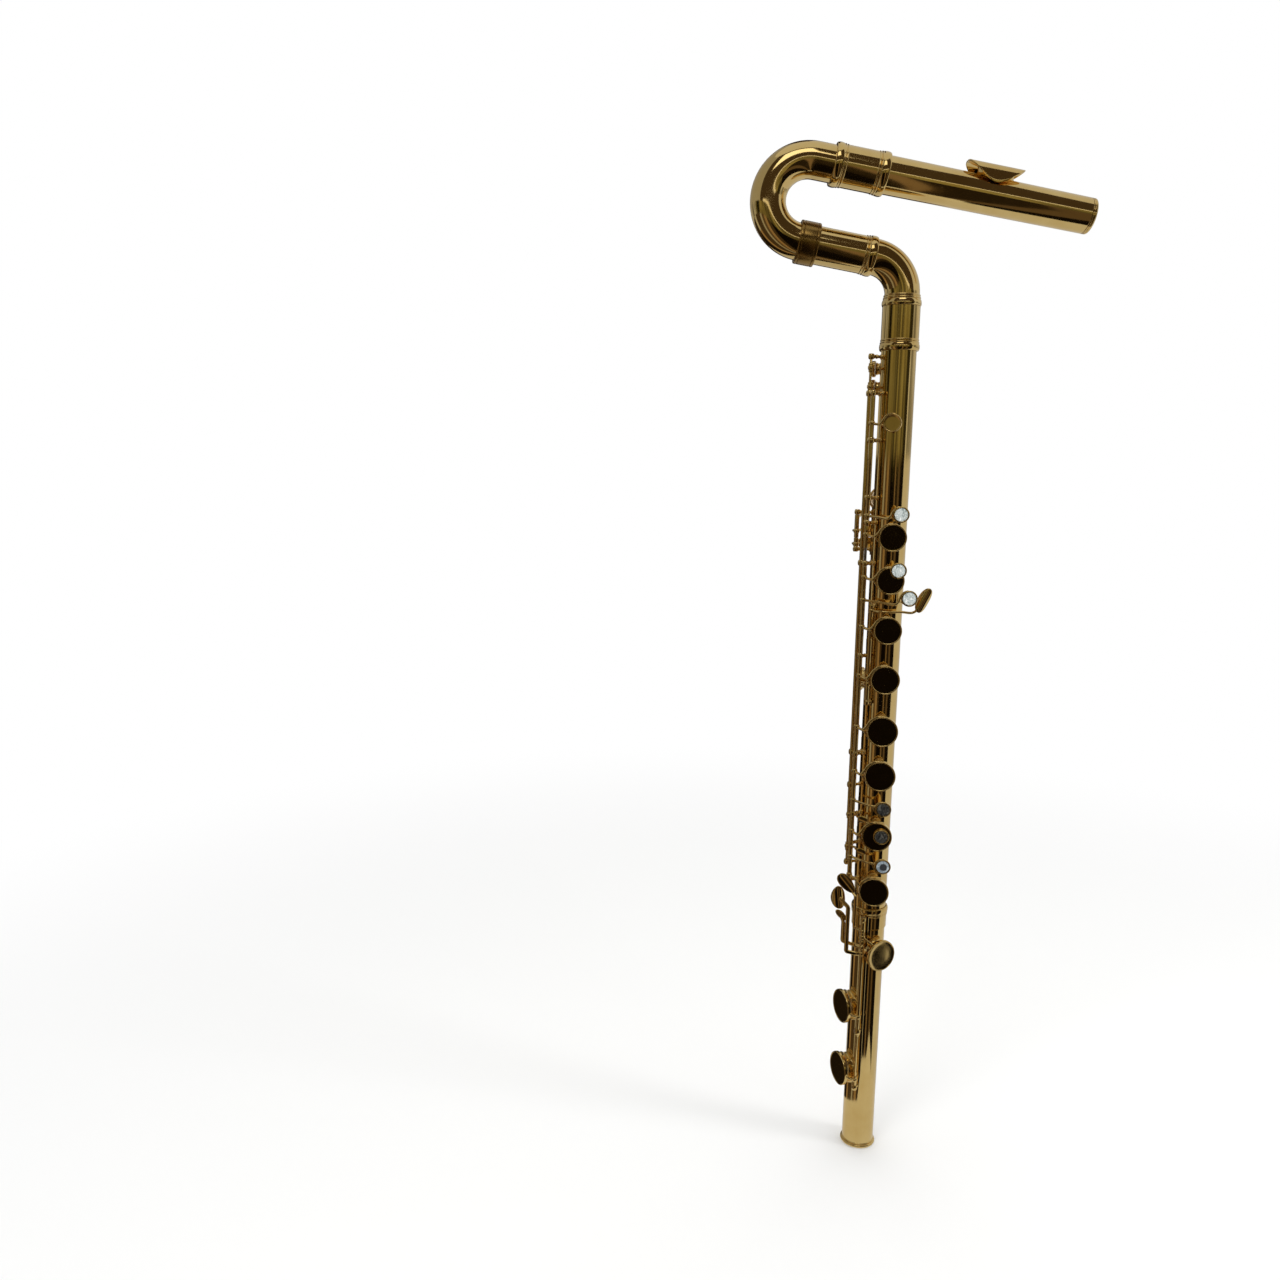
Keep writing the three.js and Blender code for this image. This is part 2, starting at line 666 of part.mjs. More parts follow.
function headCone(grow, start, end) {
  const wide = headTubeWideRadius + grow;
  const crown = headTubeCrownRadius + grow;
  return solidFrom(layOut(turned([
    [0, start], [wide, start], [wide, socketMouth], [crown, headEnd], [crown, end], [0, end],
  ], tubeSides), upperAxis));
}

function ovalRod(length, width, low, high) {
  const geometry = rod(1, 0, 1, cupSides).scale(length / 2, width / 2, high - low);
  return solidFrom(geometry.translate(embouchurePlace, 0, low));
}

function headTube() {
  const outside = headCone(0, headTenonStart, headEnd);
  const inside = headCone(-headTubeWall, headTenonStart - overrun, headEnd + overrun);
  const top = upperAxis + headTubeWideRadius;
  return cut(outside, inside, ovalRod(embouchureLength, embouchureWidth, upperAxis, top + overrun));
}

function lipPlate() {
  const axis = upperAxis + headTubeWideRadius + lipRise - lipCurveRadius;
  const top = axis + lipCurveRadius;
  const shell = solidFrom(layOut(sleeve(lipCurveRadius - lipThickness, lipCurveRadius,
    embouchurePlace - lipLength, embouchurePlace + lipLength, tubeSides), axis));
  const plate = shell.intersect(ovalRod(lipLength, lipWidth, axis, top + overrun));
  const [length, width] = [embouchureLength + 2 * riserWall, embouchureWidth + 2 * riserWall];
  const riser = ovalRod(length, width, upperAxis, top - lipThickness + weldDepth);
  const hole = ovalRod(embouchureLength, embouchureWidth, upperAxis - overrun, top + overrun);
  return cut(join(plate, riser), headCone(fitGap, headTenonStart, headEnd), hole);
}

// Crown, cork and the screw that draws the cork.
const corkStart = embouchurePlace + corkSetback;
const stopperRadius = headTubeCrownRadius - headTubeWall - stopperClearance;

function crown() {
  const flangeStart = headEnd + fitGap;
  const flangeEnd = flangeStart + crownFlange;
  const plug = headTubeCrownRadius - headTubeWall - fitGap;
  const bore = screwRadius + fitGap;
  const profile = [
    [bore, headEnd - crownPlugLength], [plug, headEnd - crownPlugLength], [plug, flangeStart],
    [headTubeCrownRadius, flangeStart], [headTubeCrownRadius, flangeEnd - ringBulge],
    [headTubeCrownRadius - ringBulge, flangeEnd], [0, flangeEnd + crownDome], [0, flangeStart],
    [bore, flangeStart], [bore, headEnd - crownPlugLength],
  ];
  return solidFrom(layOut(turned(profile, tubeSides), upperAxis));
}

function stopperScrew() {
  const plate = stopperPlateThickness;
  const end = headEnd - crownPlugLength / 3;
  const rear = corkStart + plate + corkLength + 2 * fitGap;
  const front = corkStart + plate;
  const profile = [
    [0, corkStart], [stopperRadius, corkStart], [stopperRadius, front], [screwRadius, front],
    [screwRadius, rear], [stopperRadius, rear], [stopperRadius, rear + plate], [screwRadius, rear + plate],
    [screwRadius, end], [0, end],
  ];
  return solidFrom(layOut(turned(profile, cupSides), upperAxis));
}

function stopperCork() {
  const low = corkStart + stopperPlateThickness + fitGap;
  const cork = sleeve(screwRadius + fitGap, stopperRadius, low, low + corkLength, cupSides);
  return solidFrom(layOut(cork, upperAxis));
}

// A post stands straight out of its strap with a drilled ball where the hinge runs.
function post(hinge, height, bore, { radius = ballRadius, lift = 0 } = {}) {
  const angle = angleOf(hinge);
  const low = tubeRadius + fitGap + lift;
  const half = ballHalfLength;
  const ball = rodOn(hinge, radius, height - half, height + half);
  const stem = solidFrom(faceOut(rod(stemRadius, low, distanceOf(hinge), armSides), angle, 0, height));
  return cut(join(ball, stem), rodOn(hinge, bore + fitGap, height - half - overrun, height + half + overrun));
}

// A sleeve on a post takes up the stretch of steel that no key tube covers.
function postSleeve(hinge, low, high) {
  const bore = rodOn(hinge, steelRadius + fitGap, low - overrun, high + overrun);
  return cut(rodOn(hinge, hingeTubeRadius, low, high), bore);
}

// The needle spring of a key runs up beside its post, half way between the tube and the hinge.
function needle(hinge, height, length = needleLength) {
  const distance = (tubeRadius + distanceOf(hinge) - hingeTubeRadius) / 2;
  const out = outwardAt(angleOf(hinge)).multiplyScalar(distance);
  const pin = rod(needleRadius, Math.min(0, length), Math.max(0, length), needleSides);
  return solidFrom(pin.translate(out.x, out.y, height));
}

// A curved strap between two angles and two heights, lifted off the tube by some distance.
function strap(fromAngle, toAngle, low, high, lift = 0, thickness = ribThickness) {
  const inner = tubeRadius + fitGap + lift;
  const outer = inner + thickness;
  const edge = (radius, i) => {
    const out = outwardAt(fromAngle + (toAngle - fromAngle) * i / strapTurns);
    return new THREE.Vector2(out.x * radius, out.y * radius);
  };
  const steps = Array.from({ length: strapTurns + 1 }, (_, i) => i);
  const outline = [...steps.map((i) => edge(inner, i)), ...steps.reverse().map((i) => edge(outer, i))];
  return solidFrom(prism(outline, high - low).translate(0, 0, low));
}

// Straps and posts of the body: one for the finger keys and the trills, one for the thumb keys.
function mainRibPosts() {
  const steelPosts = [topPost, upperPost, middlePost, gPost, fPost, ePost, dPost, bottomPost];
  const sprungPosts = steelPosts.slice(1);
  const tabEdge = mainStrapEdge - strapLap;
  const base = strap(trillStrapEdge, mainStrapEdge, bottomPost - strapMargin, trillTopPost + strapMargin);
  const guide = { radius: hingeTubeRadius + fitGap + guideWall };
  return join(
    base,
    ...sharpPosts.map((z) => strap(tabEdge, sharpTabEdge, z - tabHalfWidth, z + tabHalfWidth)),
    ...steelPosts.map((z) => post(mainHinge, z, steelRadius)),
    postSleeve(mainHinge, eTubeTop + fitGap, ePost - ballHalfLength + weldDepth),
    ...longTubeGuides.map((z) => post(mainHinge, z, hingeTubeRadius, guide)),
    ...trillGuides.map((z) => post(trillHinge, z, nestedTubeRadius, guide)),
    ...[trillTopPost, trillBottomPost].map((z) => post(trillHinge, z, innerRodRadius)),
    ...sharpPosts.map((z) => post(sharpHinge, z, steelRadius)),
    ...sprungPosts.map((z) => needle(mainHinge, z)),
  );
}

function thumbRibPosts() {
  const angle = angleOf(thumbHinge);
  const [low, high] = thumbPosts;
  const [from, to] = [angle - thumbStrapHalfAngle, angle + thumbStrapHalfAngle];
  const base = strap(from, to, low - strapMargin, high + strapMargin);
  return join(base, ...thumbPosts.map((z) => post(thumbHinge, z, steelRadius)), needle(thumbHinge, low));
}

// The foot's strap steps up over the socket, where the top post stands.
function footRibPosts() {
  const step = footSocketTop - footSocketDepth - sleeveWall - fitGap;
  const lift = sleeveWall + fitGap;
  const clear = [holes.lowC, holes.lowCSharp, holes.eFlat].map((hole) => chimneyAt(hole, fitGap));
  const [from, to] = [footStrapLowEdge, footStrapHighEdge];
  return cut(join(
    strap(from, to, footBottomPost - strapMargin, step),
    strap(from, to, step - strapMargin, step, 0, lift + ribThickness),
    strap(from, to, step - strapMargin, footTopPost + stemRadius + weldDepth, lift),
    post(footHinge, footTopPost, steelRadius, { lift }),
    post(footHinge, footMiddlePost, innerRodRadius),
    post(footHinge, footGuide, nestedTubeRadius, { radius: hingeTubeRadius + fitGap + guideWall }),
    post(footHinge, footBottomPost, innerRodRadius),
    needle(footHinge, footGuide, -needleLength),
  ), ...clear);
}

// A steel rod, from one height to another or through the posts at two heights
const steelOn = (hinge, low, high) => rodOn(hinge, steelRadius, low, high);
const steelThrough = (hinge, [low, high]) => steelOn(hinge, low - ballHalfLength, high + ballHalfLength);

function addFixedPieces() {
  addPiece(flute, 'body_tube', bodyTube(), goldLacquer);
  addPiece(flute, 'barrel', barrel(), goldLacquer);
  addPiece(flute, 'main_rib_posts', mainRibPosts(), goldLacquer);
  addPiece(flute, 'thumb_rib_posts', thumbRibPosts(), goldLacquer);
  addPiece(flute, 'foot_tube', footTube(), goldLacquer);
  addPiece(flute, 'foot_rib_posts', footRibPosts(), goldLacquer);
  const upperSteel = steelOn(mainHinge, middlePost + fitGap, topPost + ballHalfLength);
  const lowerSteel = steelOn(mainHinge, bottomPost - ballHalfLength, middlePost - fitGap);
  addPiece(flute, 'main_steel_upper', upperSteel, hingeSteel);
  addPiece(flute, 'main_steel_lower', lowerSteel, hingeSteel);
  addPiece(flute, 'g_sharp_steel', steelThrough(sharpHinge, sharpPosts), hingeSteel);
  addPiece(flute, 'thumb_steel', steelThrough(thumbHinge, thumbPosts), hingeSteel);
}

function addHead() {
  addPiece(flute, 'elbow', elbow(), goldLacquer);
  const head = new THREE.Group();
  head.position.set(elbowEnd.x, 0, elbowEnd.z);
  head.rotation.y = headSlope;
  addPiece(head, 'neck_sleeve', neckSleeve(), goldLacquer);
  addPiece(head, 'bend_collar', bendCollar(), satinBrass);
  addPiece(head, 'head_bend', headBend(), goldLacquer);
  addPiece(head, 'bend_socket', bendSocket(), goldLacquer);
  addPiece(head, 'head_tube', headTube(), goldLacquer);
  addPiece(head, 'lip_plate', lipPlate(), goldLacquer);
  addPiece(head, 'crown', crown(), goldLacquer);
  addPiece(head, 'stopper_screw', stopperScrew(), hingeSteel);
  addPiece(head, 'stopper_cork', stopperCork(), corkBrown);
  flute.add(head);
}

// Finger keys on the main rods. Each closes towards the tube when it is pressed.
function addRowKey(name, { tube, hole, armHeight, touch, touchArmHeight, pearl = whitePearl }) {
  const metals = [];
  const parts = [];
  const hollows = [];
  if (hole) {
    metals.push(cupAt(hole), forkedArm(mainHinge, armHeight, cupDisc(hole), armUpperTurn, armLowerTurn));
    parts.push([`${name}_pad`, padAt(hole), padSkin]);
    hollows.push(cupHollow(hole));
  }
  if (touch) {
    metals.push(holderAt(touch));
    parts.push([`${name}_pearl`, pearlAt(touch), pearl]);
    hollows.push(pearlRecess(touch));
  }
  if (touchArmHeight) {
    metals.push(forkedArm(mainHinge, touchArmHeight, holderDisc(touch), armUpperTurn, armLowerTurn));
  }
  addKey({ name: `${name}_key`, hinge: mainHinge, tube, rest: -rowOpening, metals, parts, hollows });
}

function addRowKeys() {
  const upperSpan = between(middlePost, upperPost);
  const middleSpan = between(gPost, middlePost);
  const lowerSpan = between(fPost, gPost);
  addRowKey('c_sharp', {
    tube: between(upperPost, topPost), hole: holes.cSharp, armHeight: holes.cSharp.height,
    touch: touches.cSharp, touchArmHeight: touches.cSharp.z - armLift,
  });
  addRowKey('b_flat', {
    tube: [upperSpan[0] + bFlatTubeStart, upperSpan[1]], hole: holes.bFlat,
    armHeight: holes.bFlat.height + armLift,
  });
  addRowKey('a', {
    tube: [middleSpan[1] - aTubeLength, middleSpan[1]], hole: holes.a, armHeight: holes.a.height + armLift,
    touch: touches.a,
  });
  addRowKey('g', {
    tube: [middleSpan[0], middleSpan[1] - aTubeLength - fitGap], hole: holes.g,
    armHeight: holes.g.height + armLift, touch: touches.g, touchArmHeight: touches.g.z - touchArmLift,
  });
  addRowKey('g_lower', {
    tube: [lowerSpan[1] - gLowerTubeLength, lowerSpan[1]], hole: holes.gLower,
    armHeight: holes.gLower.height + armLift,
  });
  addRowKey('f_sharp', {
    tube: [lowerSpan[0], lowerSpan[1] - gLowerTubeLength - fitGap], hole: holes.fSharp,
    armHeight: holes.fSharp.height + armLift,
  });
  addRowKey('f', {
    tube: between(ePost, fPost), hole: holes.f, armHeight: holes.f.height + armLift,
    touch: touches.f, touchArmHeight: touches.f.z + touchArmLift, pearl: darkPearl,
  });
  addRowKey('e', {
    tube: [between(dPost, ePost)[0], eTubeTop], hole: holes.e, armHeight: holes.e.height + armLift,
    touch: touches.e, pearl: darkPearl,
  });
  addRowKey('d', {
    tube: between(bottomPost, dPost), hole: holes.d, armHeight: holes.d.height + dArmLift,
    touch: touches.d, touchArmHeight: touches.d.z + touchArmLift, pearl: darkPearl,
  });
}

// G sharp: a cup on the far left side, raised by a lever that crosses the front of the tube.
function addSharpKey() {
  const { x, y } = sharpHinge;
  const { height, depth, reach } = sharpLever;
  const tipX = (reach + sharpTip.x) / 2;
  const tipZ = height + sharpTip.rise / 2;
  const lever = swept([
    at(x, y, height), at(x / 2, depth, height), at(reach / 2, depth, height),
    at(reach, depth, height + armRadius), at(tipX, depth, tipZ),
  ], armRadius, armSteps + 2);
  const tilt = Math.atan2(sharpTip.rise, sharpTip.x - reach);
  const hole = holes.gSharp;
  const arm = swept([
    at(x, y, hole.height), at(sharpArmX, y / 2, hole.height),
    at(sharpArmX - armRadius / 2, 0, hole.height), frontRim(hole),
  ], armRadius);
  addKey({
    name: 'g_sharp_key', hinge: sharpHinge, tube: between(...sharpPosts), rest: 0,
    metals: [lever, fingerPlate(at(tipX, depth, tipZ), { ...sharpPlate, tilt }), cupAt(hole), arm],
    parts: [['g_sharp_pad', padAt(hole), padSkin]], hollows: [cupHollow(hole)],
  });
}

// The trill keys nest: the first turns as a tube on the second's long rod. Their levers pass
// between the tube and the main rod to reach the right hand's fingers.
function trillLever(height) {
  const bar = swept([
    at(trillHinge.x, trillHinge.y, height), at(trillLane.x, trillLane.y, height),
    at(trillLane.x, mainHinge.y, height), at(trillPlate.x, trillPlate.y, height),
  ], armRadius);
  return join(bar, fingerPlate(at(trillPlate.x, trillPlate.y, height), trillPlate));
}

const trillArm = (hole) =>
  swept([at(trillHinge.x, trillHinge.y, hole.height), frontRim(hole)], armRadius, 1);

// A collar thickens a rod to the width of the tubes beside it.
const collarOn = (hinge, low, high) => rodOn(hinge, nestedTubeRadius, low, high);

function addTrillKeys() {
  const [firstLever, secondLever] = trillLeverHeights;
  const { trillOne, trillTwo } = holes;
  const half = collarLengthOnRod / 2;
  addKey({
    name: 'trill_one_key', hinge: trillHinge, inner: innerRodRadius, outer: nestedTubeRadius, rest: 0,
    tube: [firstLever - half, trillOne.height + half],
    metals: [trillLever(firstLever), cupAt(trillOne), trillArm(trillOne)],
    parts: [['trill_one_pad', padAt(trillOne), padSkin]], hollows: [cupHollow(trillOne)],
  });
  addKey({
    name: 'trill_two_key', hinge: trillHinge, inner: 0, outer: innerRodRadius, rest: 0,
    tube: [trillBottomPost - ballHalfLength, trillTopPost + ballHalfLength],
    metals: [
      collarOn(trillHinge, secondLever - half, secondLever + half),
      collarOn(trillHinge, trillTwo.height - half, trillTwo.height + half),
      trillLever(secondLever), cupAt(trillTwo), trillArm(trillTwo),
    ],
    parts: [['trill_two_pad', padAt(trillTwo), padSkin]], hollows: [cupHollow(trillTwo)],
  });
}

// The left thumb's keys: one closes the hole at the back, the other only works the B flat cup.
function thumbPaddle({ x, z }) {
  const hinge = thumbHinge;
  const { length, width, depth } = thumbPlate;
  const bar = swept([
    at(hinge.x, hinge.y, z), at(hinge.x, (hinge.y + depth) / 2, z), at((hinge.x + x) / 2, depth, z),
    at(x, depth, z),
  ], armRadius);
  return join(bar, fingerPlate(at(x, depth, z), { length, width, tilt: 0 }));
}

function addThumbKeys() {
  const [low, high] = between(...thumbPosts);
  const split = (thumbTouch.z + flatTouch.z) / 2;
  const hole = holes.thumb;
  const rim = frontRim(hole).setZ(hole.height - armLift);
  const arm = swept([
    at(thumbHinge.x, thumbHinge.y, high - ballHalfLength),
    at((thumbHinge.x + rim.x) / 2, thumbArmDepth, high), rim,
  ], armRadius);
  addKey({
    name: 'thumb_key', hinge: thumbHinge, rest: thumbOpening, tube: [split + fitGap / 2, high],
    metals: [thumbPaddle(thumbTouch), cupAt(hole), arm],
    parts: [['thumb_pad', padAt(hole), padSkin]], hollows: [cupHollow(hole)],
  });
  addKey({
    name: 'thumb_flat_lever', hinge: thumbHinge, rest: thumbOpening, tube: [low, split - fitGap / 2],
    metals: [thumbPaddle(flatTouch)],
  });
}

// The two low keys nest as the trills do, and their levers run up to the little finger.
function footLever({ height, bend, lane, laneRise, rise, touch }, plate) {
  const tip = at(touch.x, touch.y, height + rise);
  const bends = bend ? [at(bend.x, bend.y, height)] : [];
  const bar = swept([
    at(footHinge.x, footHinge.y, height), ...bends, at(lane.x, lane.y, height + ballHalfLength),
    at(lane.x, lane.y, height + laneRise), tip,
  ], armRadius, 2 * armSteps);
  return join(bar, fingerPlate(tip, plate));
}

function footArm(hole) {
  const rim = frontRim(hole);
  const start = at(footHinge.x, footHinge.y, hole.height - footArmDrop);
  const middle = start.clone().lerp(rim, 1 / 2).addScaledVector(outwardAt(hole.angle / 2), footArmBow);
  return swept([start, middle, rim], armRadius);
}

function addFootKeys() {
  const { lowC, lowCSharp, eFlat } = holes;
  const sharpTubeTop = lowCSharpLever.height + armRadius + fitGap;
  addKey({
    name: 'low_c_sharp_key', hinge: footHinge, inner: innerRodRadius, outer: nestedTubeRadius,
    tube: [footGuide - 2 * ballHalfLength, sharpTubeTop], rest: footOpening,
    metals: [footArm(lowCSharp), cupAt(lowCSharp), footLever(lowCSharpLever, lowCSharpPlate)],
    parts: [['low_c_sharp_pad', padAt(lowCSharp), padSkin]], hollows: [cupHollow(lowCSharp)],
  });
  addKey({
    name: 'low_c_key', hinge: footHinge, inner: 0, outer: innerRodRadius, rest: footOpening,
    tube: [footBottomPost - ballHalfLength, footMiddlePost + ballHalfLength],
    metals: [
      collarOn(footHinge, footBottomPost + ballHalfLength + fitGap, lowC.height),
      collarOn(footHinge, sharpTubeTop + fitGap, footMiddlePost - ballHalfLength - fitGap),
      footArm(lowC), cupAt(lowC), footLever(lowCLever, lowCPlate),
    ],
    parts: [['low_c_pad', padAt(lowC), padSkin]], hollows: [cupHollow(lowC)],
  });
  const armStart = at(footHinge.x, footHinge.y, footMiddlePost + eFlatArmRise);
  const rim = cupPoint(eFlat, eFlatArmTurn);
  addKey({
    name: 'e_flat_key', hinge: footHinge, rest: 0, tube: between(footMiddlePost, footTopPost),
    metals: [
      footLever(eFlatLever, eFlatPlate), cupAt(eFlat), swept([armStart, rim], armRadius, 1),
    ],
    parts: [['e_flat_pad', padAt(eFlat), padSkin]], hollows: [cupHollow(eFlat)],
  });
  const steelStart = footMiddlePost + ballHalfLength + fitGap / 2;
  addPiece(flute, 'e_flat_steel', steelOn(footHinge, steelStart, footTopPost + ballHalfLength), hingeSteel);
}

addFixedPieces();
addHead();
addRowKeys();
addSharpKey();
addTrillKeys();
addThumbKeys();
addFootKeys();

export default flute;
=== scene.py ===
import math
import bpy
import bmesh
import numpy as np
from mathutils import Matrix


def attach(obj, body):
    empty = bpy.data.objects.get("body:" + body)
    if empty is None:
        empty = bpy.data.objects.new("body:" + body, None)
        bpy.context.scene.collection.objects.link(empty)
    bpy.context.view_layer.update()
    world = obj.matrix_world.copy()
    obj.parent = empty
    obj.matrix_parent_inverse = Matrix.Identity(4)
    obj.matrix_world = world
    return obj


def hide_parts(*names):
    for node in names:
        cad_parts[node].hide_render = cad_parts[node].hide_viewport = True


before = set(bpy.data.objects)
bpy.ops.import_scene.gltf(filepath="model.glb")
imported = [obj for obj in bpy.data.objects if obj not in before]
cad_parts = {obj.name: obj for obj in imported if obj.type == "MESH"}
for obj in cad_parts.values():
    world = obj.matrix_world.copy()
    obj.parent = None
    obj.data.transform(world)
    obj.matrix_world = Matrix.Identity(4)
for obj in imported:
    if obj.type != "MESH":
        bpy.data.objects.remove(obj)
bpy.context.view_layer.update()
mm = 0.001
print("stage: frame loaded")

# Camera: where the photograph was taken from, in metres and degrees
cameraSettings = {
    "place": (-0.2341, -1.0054, 0.690), "down": 9.44, "roll": 0.877, "lens": 29.81, "sensor": 36,
}


def makeCamera(s):
    data = bpy.data.cameras.new("photoCamera")
    data.sensor_fit, data.sensor_width, data.lens = "HORIZONTAL", s["sensor"], s["lens"]
    camera = bpy.data.objects.new("photoCamera", data)
    bpy.context.scene.collection.objects.link(camera)
    tilt = Matrix.Rotation(math.radians(90 - s["down"]), 4, "X")
    roll = Matrix.Rotation(math.radians(s["roll"]), 4, "Z")
    camera.matrix_world = Matrix.Translation(s["place"]) @ (tilt @ roll)
    bpy.context.scene.camera = camera


makeCamera(cameraSettings)

# Shared sizes of the flute, in millimetres and degrees
tube = {"bore": 15, "radius": 15.8, "rim": 19.4, "fit": 0.3}
cupHeights = {"low": 20.5, "top": 23.6, "wall": 0.8, "padLow": 19.7, "padHigh": 22.5}
hinges = {  # where each rod stands
    "main": (-24.5, -13), "trill": (-26.5, -6), "sharp": (-16.5, -14), "thumb": (-29.5, 8),
    "foot": (-10, -19.5),
}
holes = {
    "lowC": (82.5, -81, 16.6), "lowCSharp": (151, -81, 16.6), "eFlat": (213, 25, 15.8),
    "d": (281, -3, 14.5), "e": (337.5, -3, 14.5), "f": (398, -3, 14.8), "fSharp": (442, -3, 14.8),
    "gLower": (492, -3, 13.8), "gSharp": (486, -125, 11.5), "g": (539, -3, 13.2), "a": (586, -3, 13),
    "bFlat": (626, -3, 13), "thumb": (660, -172, 11.8), "cSharp": (730, -17.5, 8.4),
    "trillOne": (763, -110, 7.4), "trillTwo": (780, -110, 7.4),
}  # height, angle round the tube from the front, cup radius
armRadius = 1.2
axisPoint = 0.05  # how close to its axis a turned profile starts
sharpAngle = 35  # degrees between two faces from which their edge is sharp
up = np.array([0.0, 0.0, 1.0])


# Unit vectors at an angle round the tube from the front: straight out of it, and along its round.
def outward(angle):
    a = math.radians(angle)
    return np.array([math.sin(a), -math.cos(a), 0.0])


def sideways(angle):
    a = math.radians(angle)
    return np.array([math.cos(a), math.sin(a), 0.0])


# Each vector over its own length.
def unit(vectors):
    return vectors / np.maximum(np.linalg.norm(vectors, axis=-1, keepdims=True), 1e-9)


# A closed surface over a grid of points. Its columns run round and close on themselves. Its rows
# close too when wrapped, and otherwise each end is a fan to the middle of its ring.
def shell(grid, wrap=False):
    rows, columns = grid.shape[:2]
    index = np.arange(rows * columns).reshape(rows, columns)
    beside = np.roll(index, -1, axis=1)
    if wrap:
        quads = np.stack([index, beside, np.roll(beside, -1, axis=0), np.roll(index, -1, axis=0)], -1)
        return grid.reshape(-1, 3), quads.reshape(-1, 4), np.zeros((0, 3), int)
    quads = np.stack([index[:-1], beside[:-1], beside[1:], index[1:]], -1).reshape(-1, 4)
    points = np.concatenate([grid.reshape(-1, 3), grid[:1].mean(1), grid[-1:].mean(1)])
    low, high = np.full(columns, rows * columns), np.full(columns, rows * columns + 1)
    fans = [np.stack([low, beside[0], index[0]], -1), np.stack([high, index[-1], beside[-1]], -1)]
    return points, quads, np.concatenate(fans)


# The same faces, with every point put through the change.
def moved(part, change):
    return change(part[0]), part[1], part[2]


# A flat outline repeated at each height, as the rows of a surface.
def lifted(outline, heights):
    return np.stack([np.concatenate([outline, np.full((len(outline), 1), z)], -1) for z in heights])


# The corners of a rectangle, from half of each side.
def rectangle(x, y):
    return np.array([[x, -y], [x, y], [-x, y], [-x, -y]])


# A box round the middle, from its whole sides.
def box(size):
    x, y, z = (v / 2 for v in size)
    return shell(lifted(rectangle(x, y), (-z, z)))


# Each corner [across, along, rounding] becomes a short curve that leaves its edges at the rounding's
# distance: (1 - t) squared of its start, twice t(1 - t) of the corner and t squared of its end.
def rounded(corners, closed=False, steps=4):
    points = np.array([c[:2] for c in corners], float)
    size = np.array([c[2] if len(c) > 2 else 0 for c in corners], float)[:, None]
    before, after = np.roll(points, 1, 0) - points, np.roll(points, -1, 0) - points
    lengths = [np.linalg.norm(v, axis=1, keepdims=True) for v in (before, after)]
    size = np.minimum(size, 0.49 * np.minimum(*lengths))
    if not closed:
        size[[0, -1]] = 0
    start, end = points + unit(before) * size, points + unit(after) * size
    t = np.linspace(0, 1, steps + 1)[None, :, None]
    curve = (1 - t) ** 2 * start[:, None] + 2 * t * (1 - t) * points[:, None] + t ** 2 * end[:, None]
    keep = np.ones(curve.shape[:2], bool)
    keep[size[:, 0] == 0, 1:] = False
    return curve[keep]


# A profile of radius and height turned about +Z. It runs up its outside, and a wrapped one comes
# back down inside.
def turned(profile, sides=64, wrap=False):
    profile = np.asarray(profile, float)
    turn = np.linspace(0, 2 * np.pi, sides, endpoint=False)
    ring = np.stack([np.cos(turn), np.sin(turn)], -1)
    flat = profile[:, None, :1] * ring[None]
    return shell(np.concatenate([flat, np.broadcast_to(profile[:, None, 1:], flat[..., :1].shape)], -1), wrap)


# A smooth curve through the points: each cubic piece leaves and arrives along its neighbours' slope.
def smoothPath(points, places):
    p = np.asarray(points, float)
    gaps = np.linalg.norm(np.diff(p, axis=0), axis=1)
    reach = np.concatenate([[0], np.cumsum(gaps)])
    slopes = np.gradient(p, reach, axis=0)
    u = np.asarray(places) * reach[-1]
    k = np.clip(np.searchsorted(reach, u, side="right") - 1, 0, len(p) - 2)
    h = gaps[k][:, None]
    t = ((u - reach[k])[:, None]) / h
    one, two, three, four = 2 * t**3 - 3 * t**2 + 1, t**3 - 2 * t**2 + t, 3 * t**2 - 2 * t**3, t**3 - t**2
    return p[k] * one + slopes[k] * h * two + p[k + 1] * three + slopes[k + 1] * h * four


# A round bar carried along a smooth path, with domed ends. The section is turned against the
# direction in which the path bends least, and widths are shares of the radius along the path.
def bar(points, radius, sides=16, steps=36, widths=(1, 1), flat=1.0):
    length = np.linalg.norm(np.diff(np.asarray(points, float), axis=0), axis=1).sum()
    dome = (1 - np.cos(np.linspace(0, np.pi / 2, 6))) * radius / length
    places = np.concatenate([dome, np.linspace(dome[-1], 1 - dome[-1], steps)[1:-1], 1 - dome[::-1]])
    path = smoothPath(points, places)
    along = unit(np.gradient(path, axis=0))
    least = np.linalg.svd(along, full_matrices=False)[2][-1]
    side = unit(np.cross(least, along))
    lift = np.cross(along, side)
    fromEnd = np.clip(np.minimum(places, 1 - places) * length / radius, 0, 1)
    size = radius * np.maximum(np.sqrt(1 - (1 - fromEnd) ** 2), 0.04)
    size *= np.interp(places, np.linspace(0, 1, len(widths)), widths)
    turn = np.linspace(0, 2 * np.pi, sides, endpoint=False)[None, :, None]
    ring = np.cos(turn) * side[:, None] + flat * np.sin(turn) * lift[:, None]
    return shell(path[:, None] + size[:, None, None] * ring)


# Local +Z points straight out of the tube, X runs round it and Y runs up.
def faceOut(part, angle, distance, height):
    def change(p):
        flat = p[:, :1] * sideways(angle) + p[:, 1:2] * up
        return flat + (p[:, 2:] + distance) * outward(angle) + height * up
    return moved(part, change)


# Moved along each axis.
def shifted(part, x=0.0, y=0.0, z=0.0):
    return moved(part, lambda p: p + np.array([x, y, z]))


# Turned about the upright line through the centre.
def turnedAbout(part, centre, degrees):
    c, s = math.cos(math.radians(degrees)), math.sin(math.radians(degrees))
    def change(p):
        x, y = p[:, 0] - centre[0], p[:, 1] - centre[1]
        return np.stack([c * x - s * y + centre[0], s * x + c * y + centre[1], p[:, 2]], -1)
    return moved(part, change)


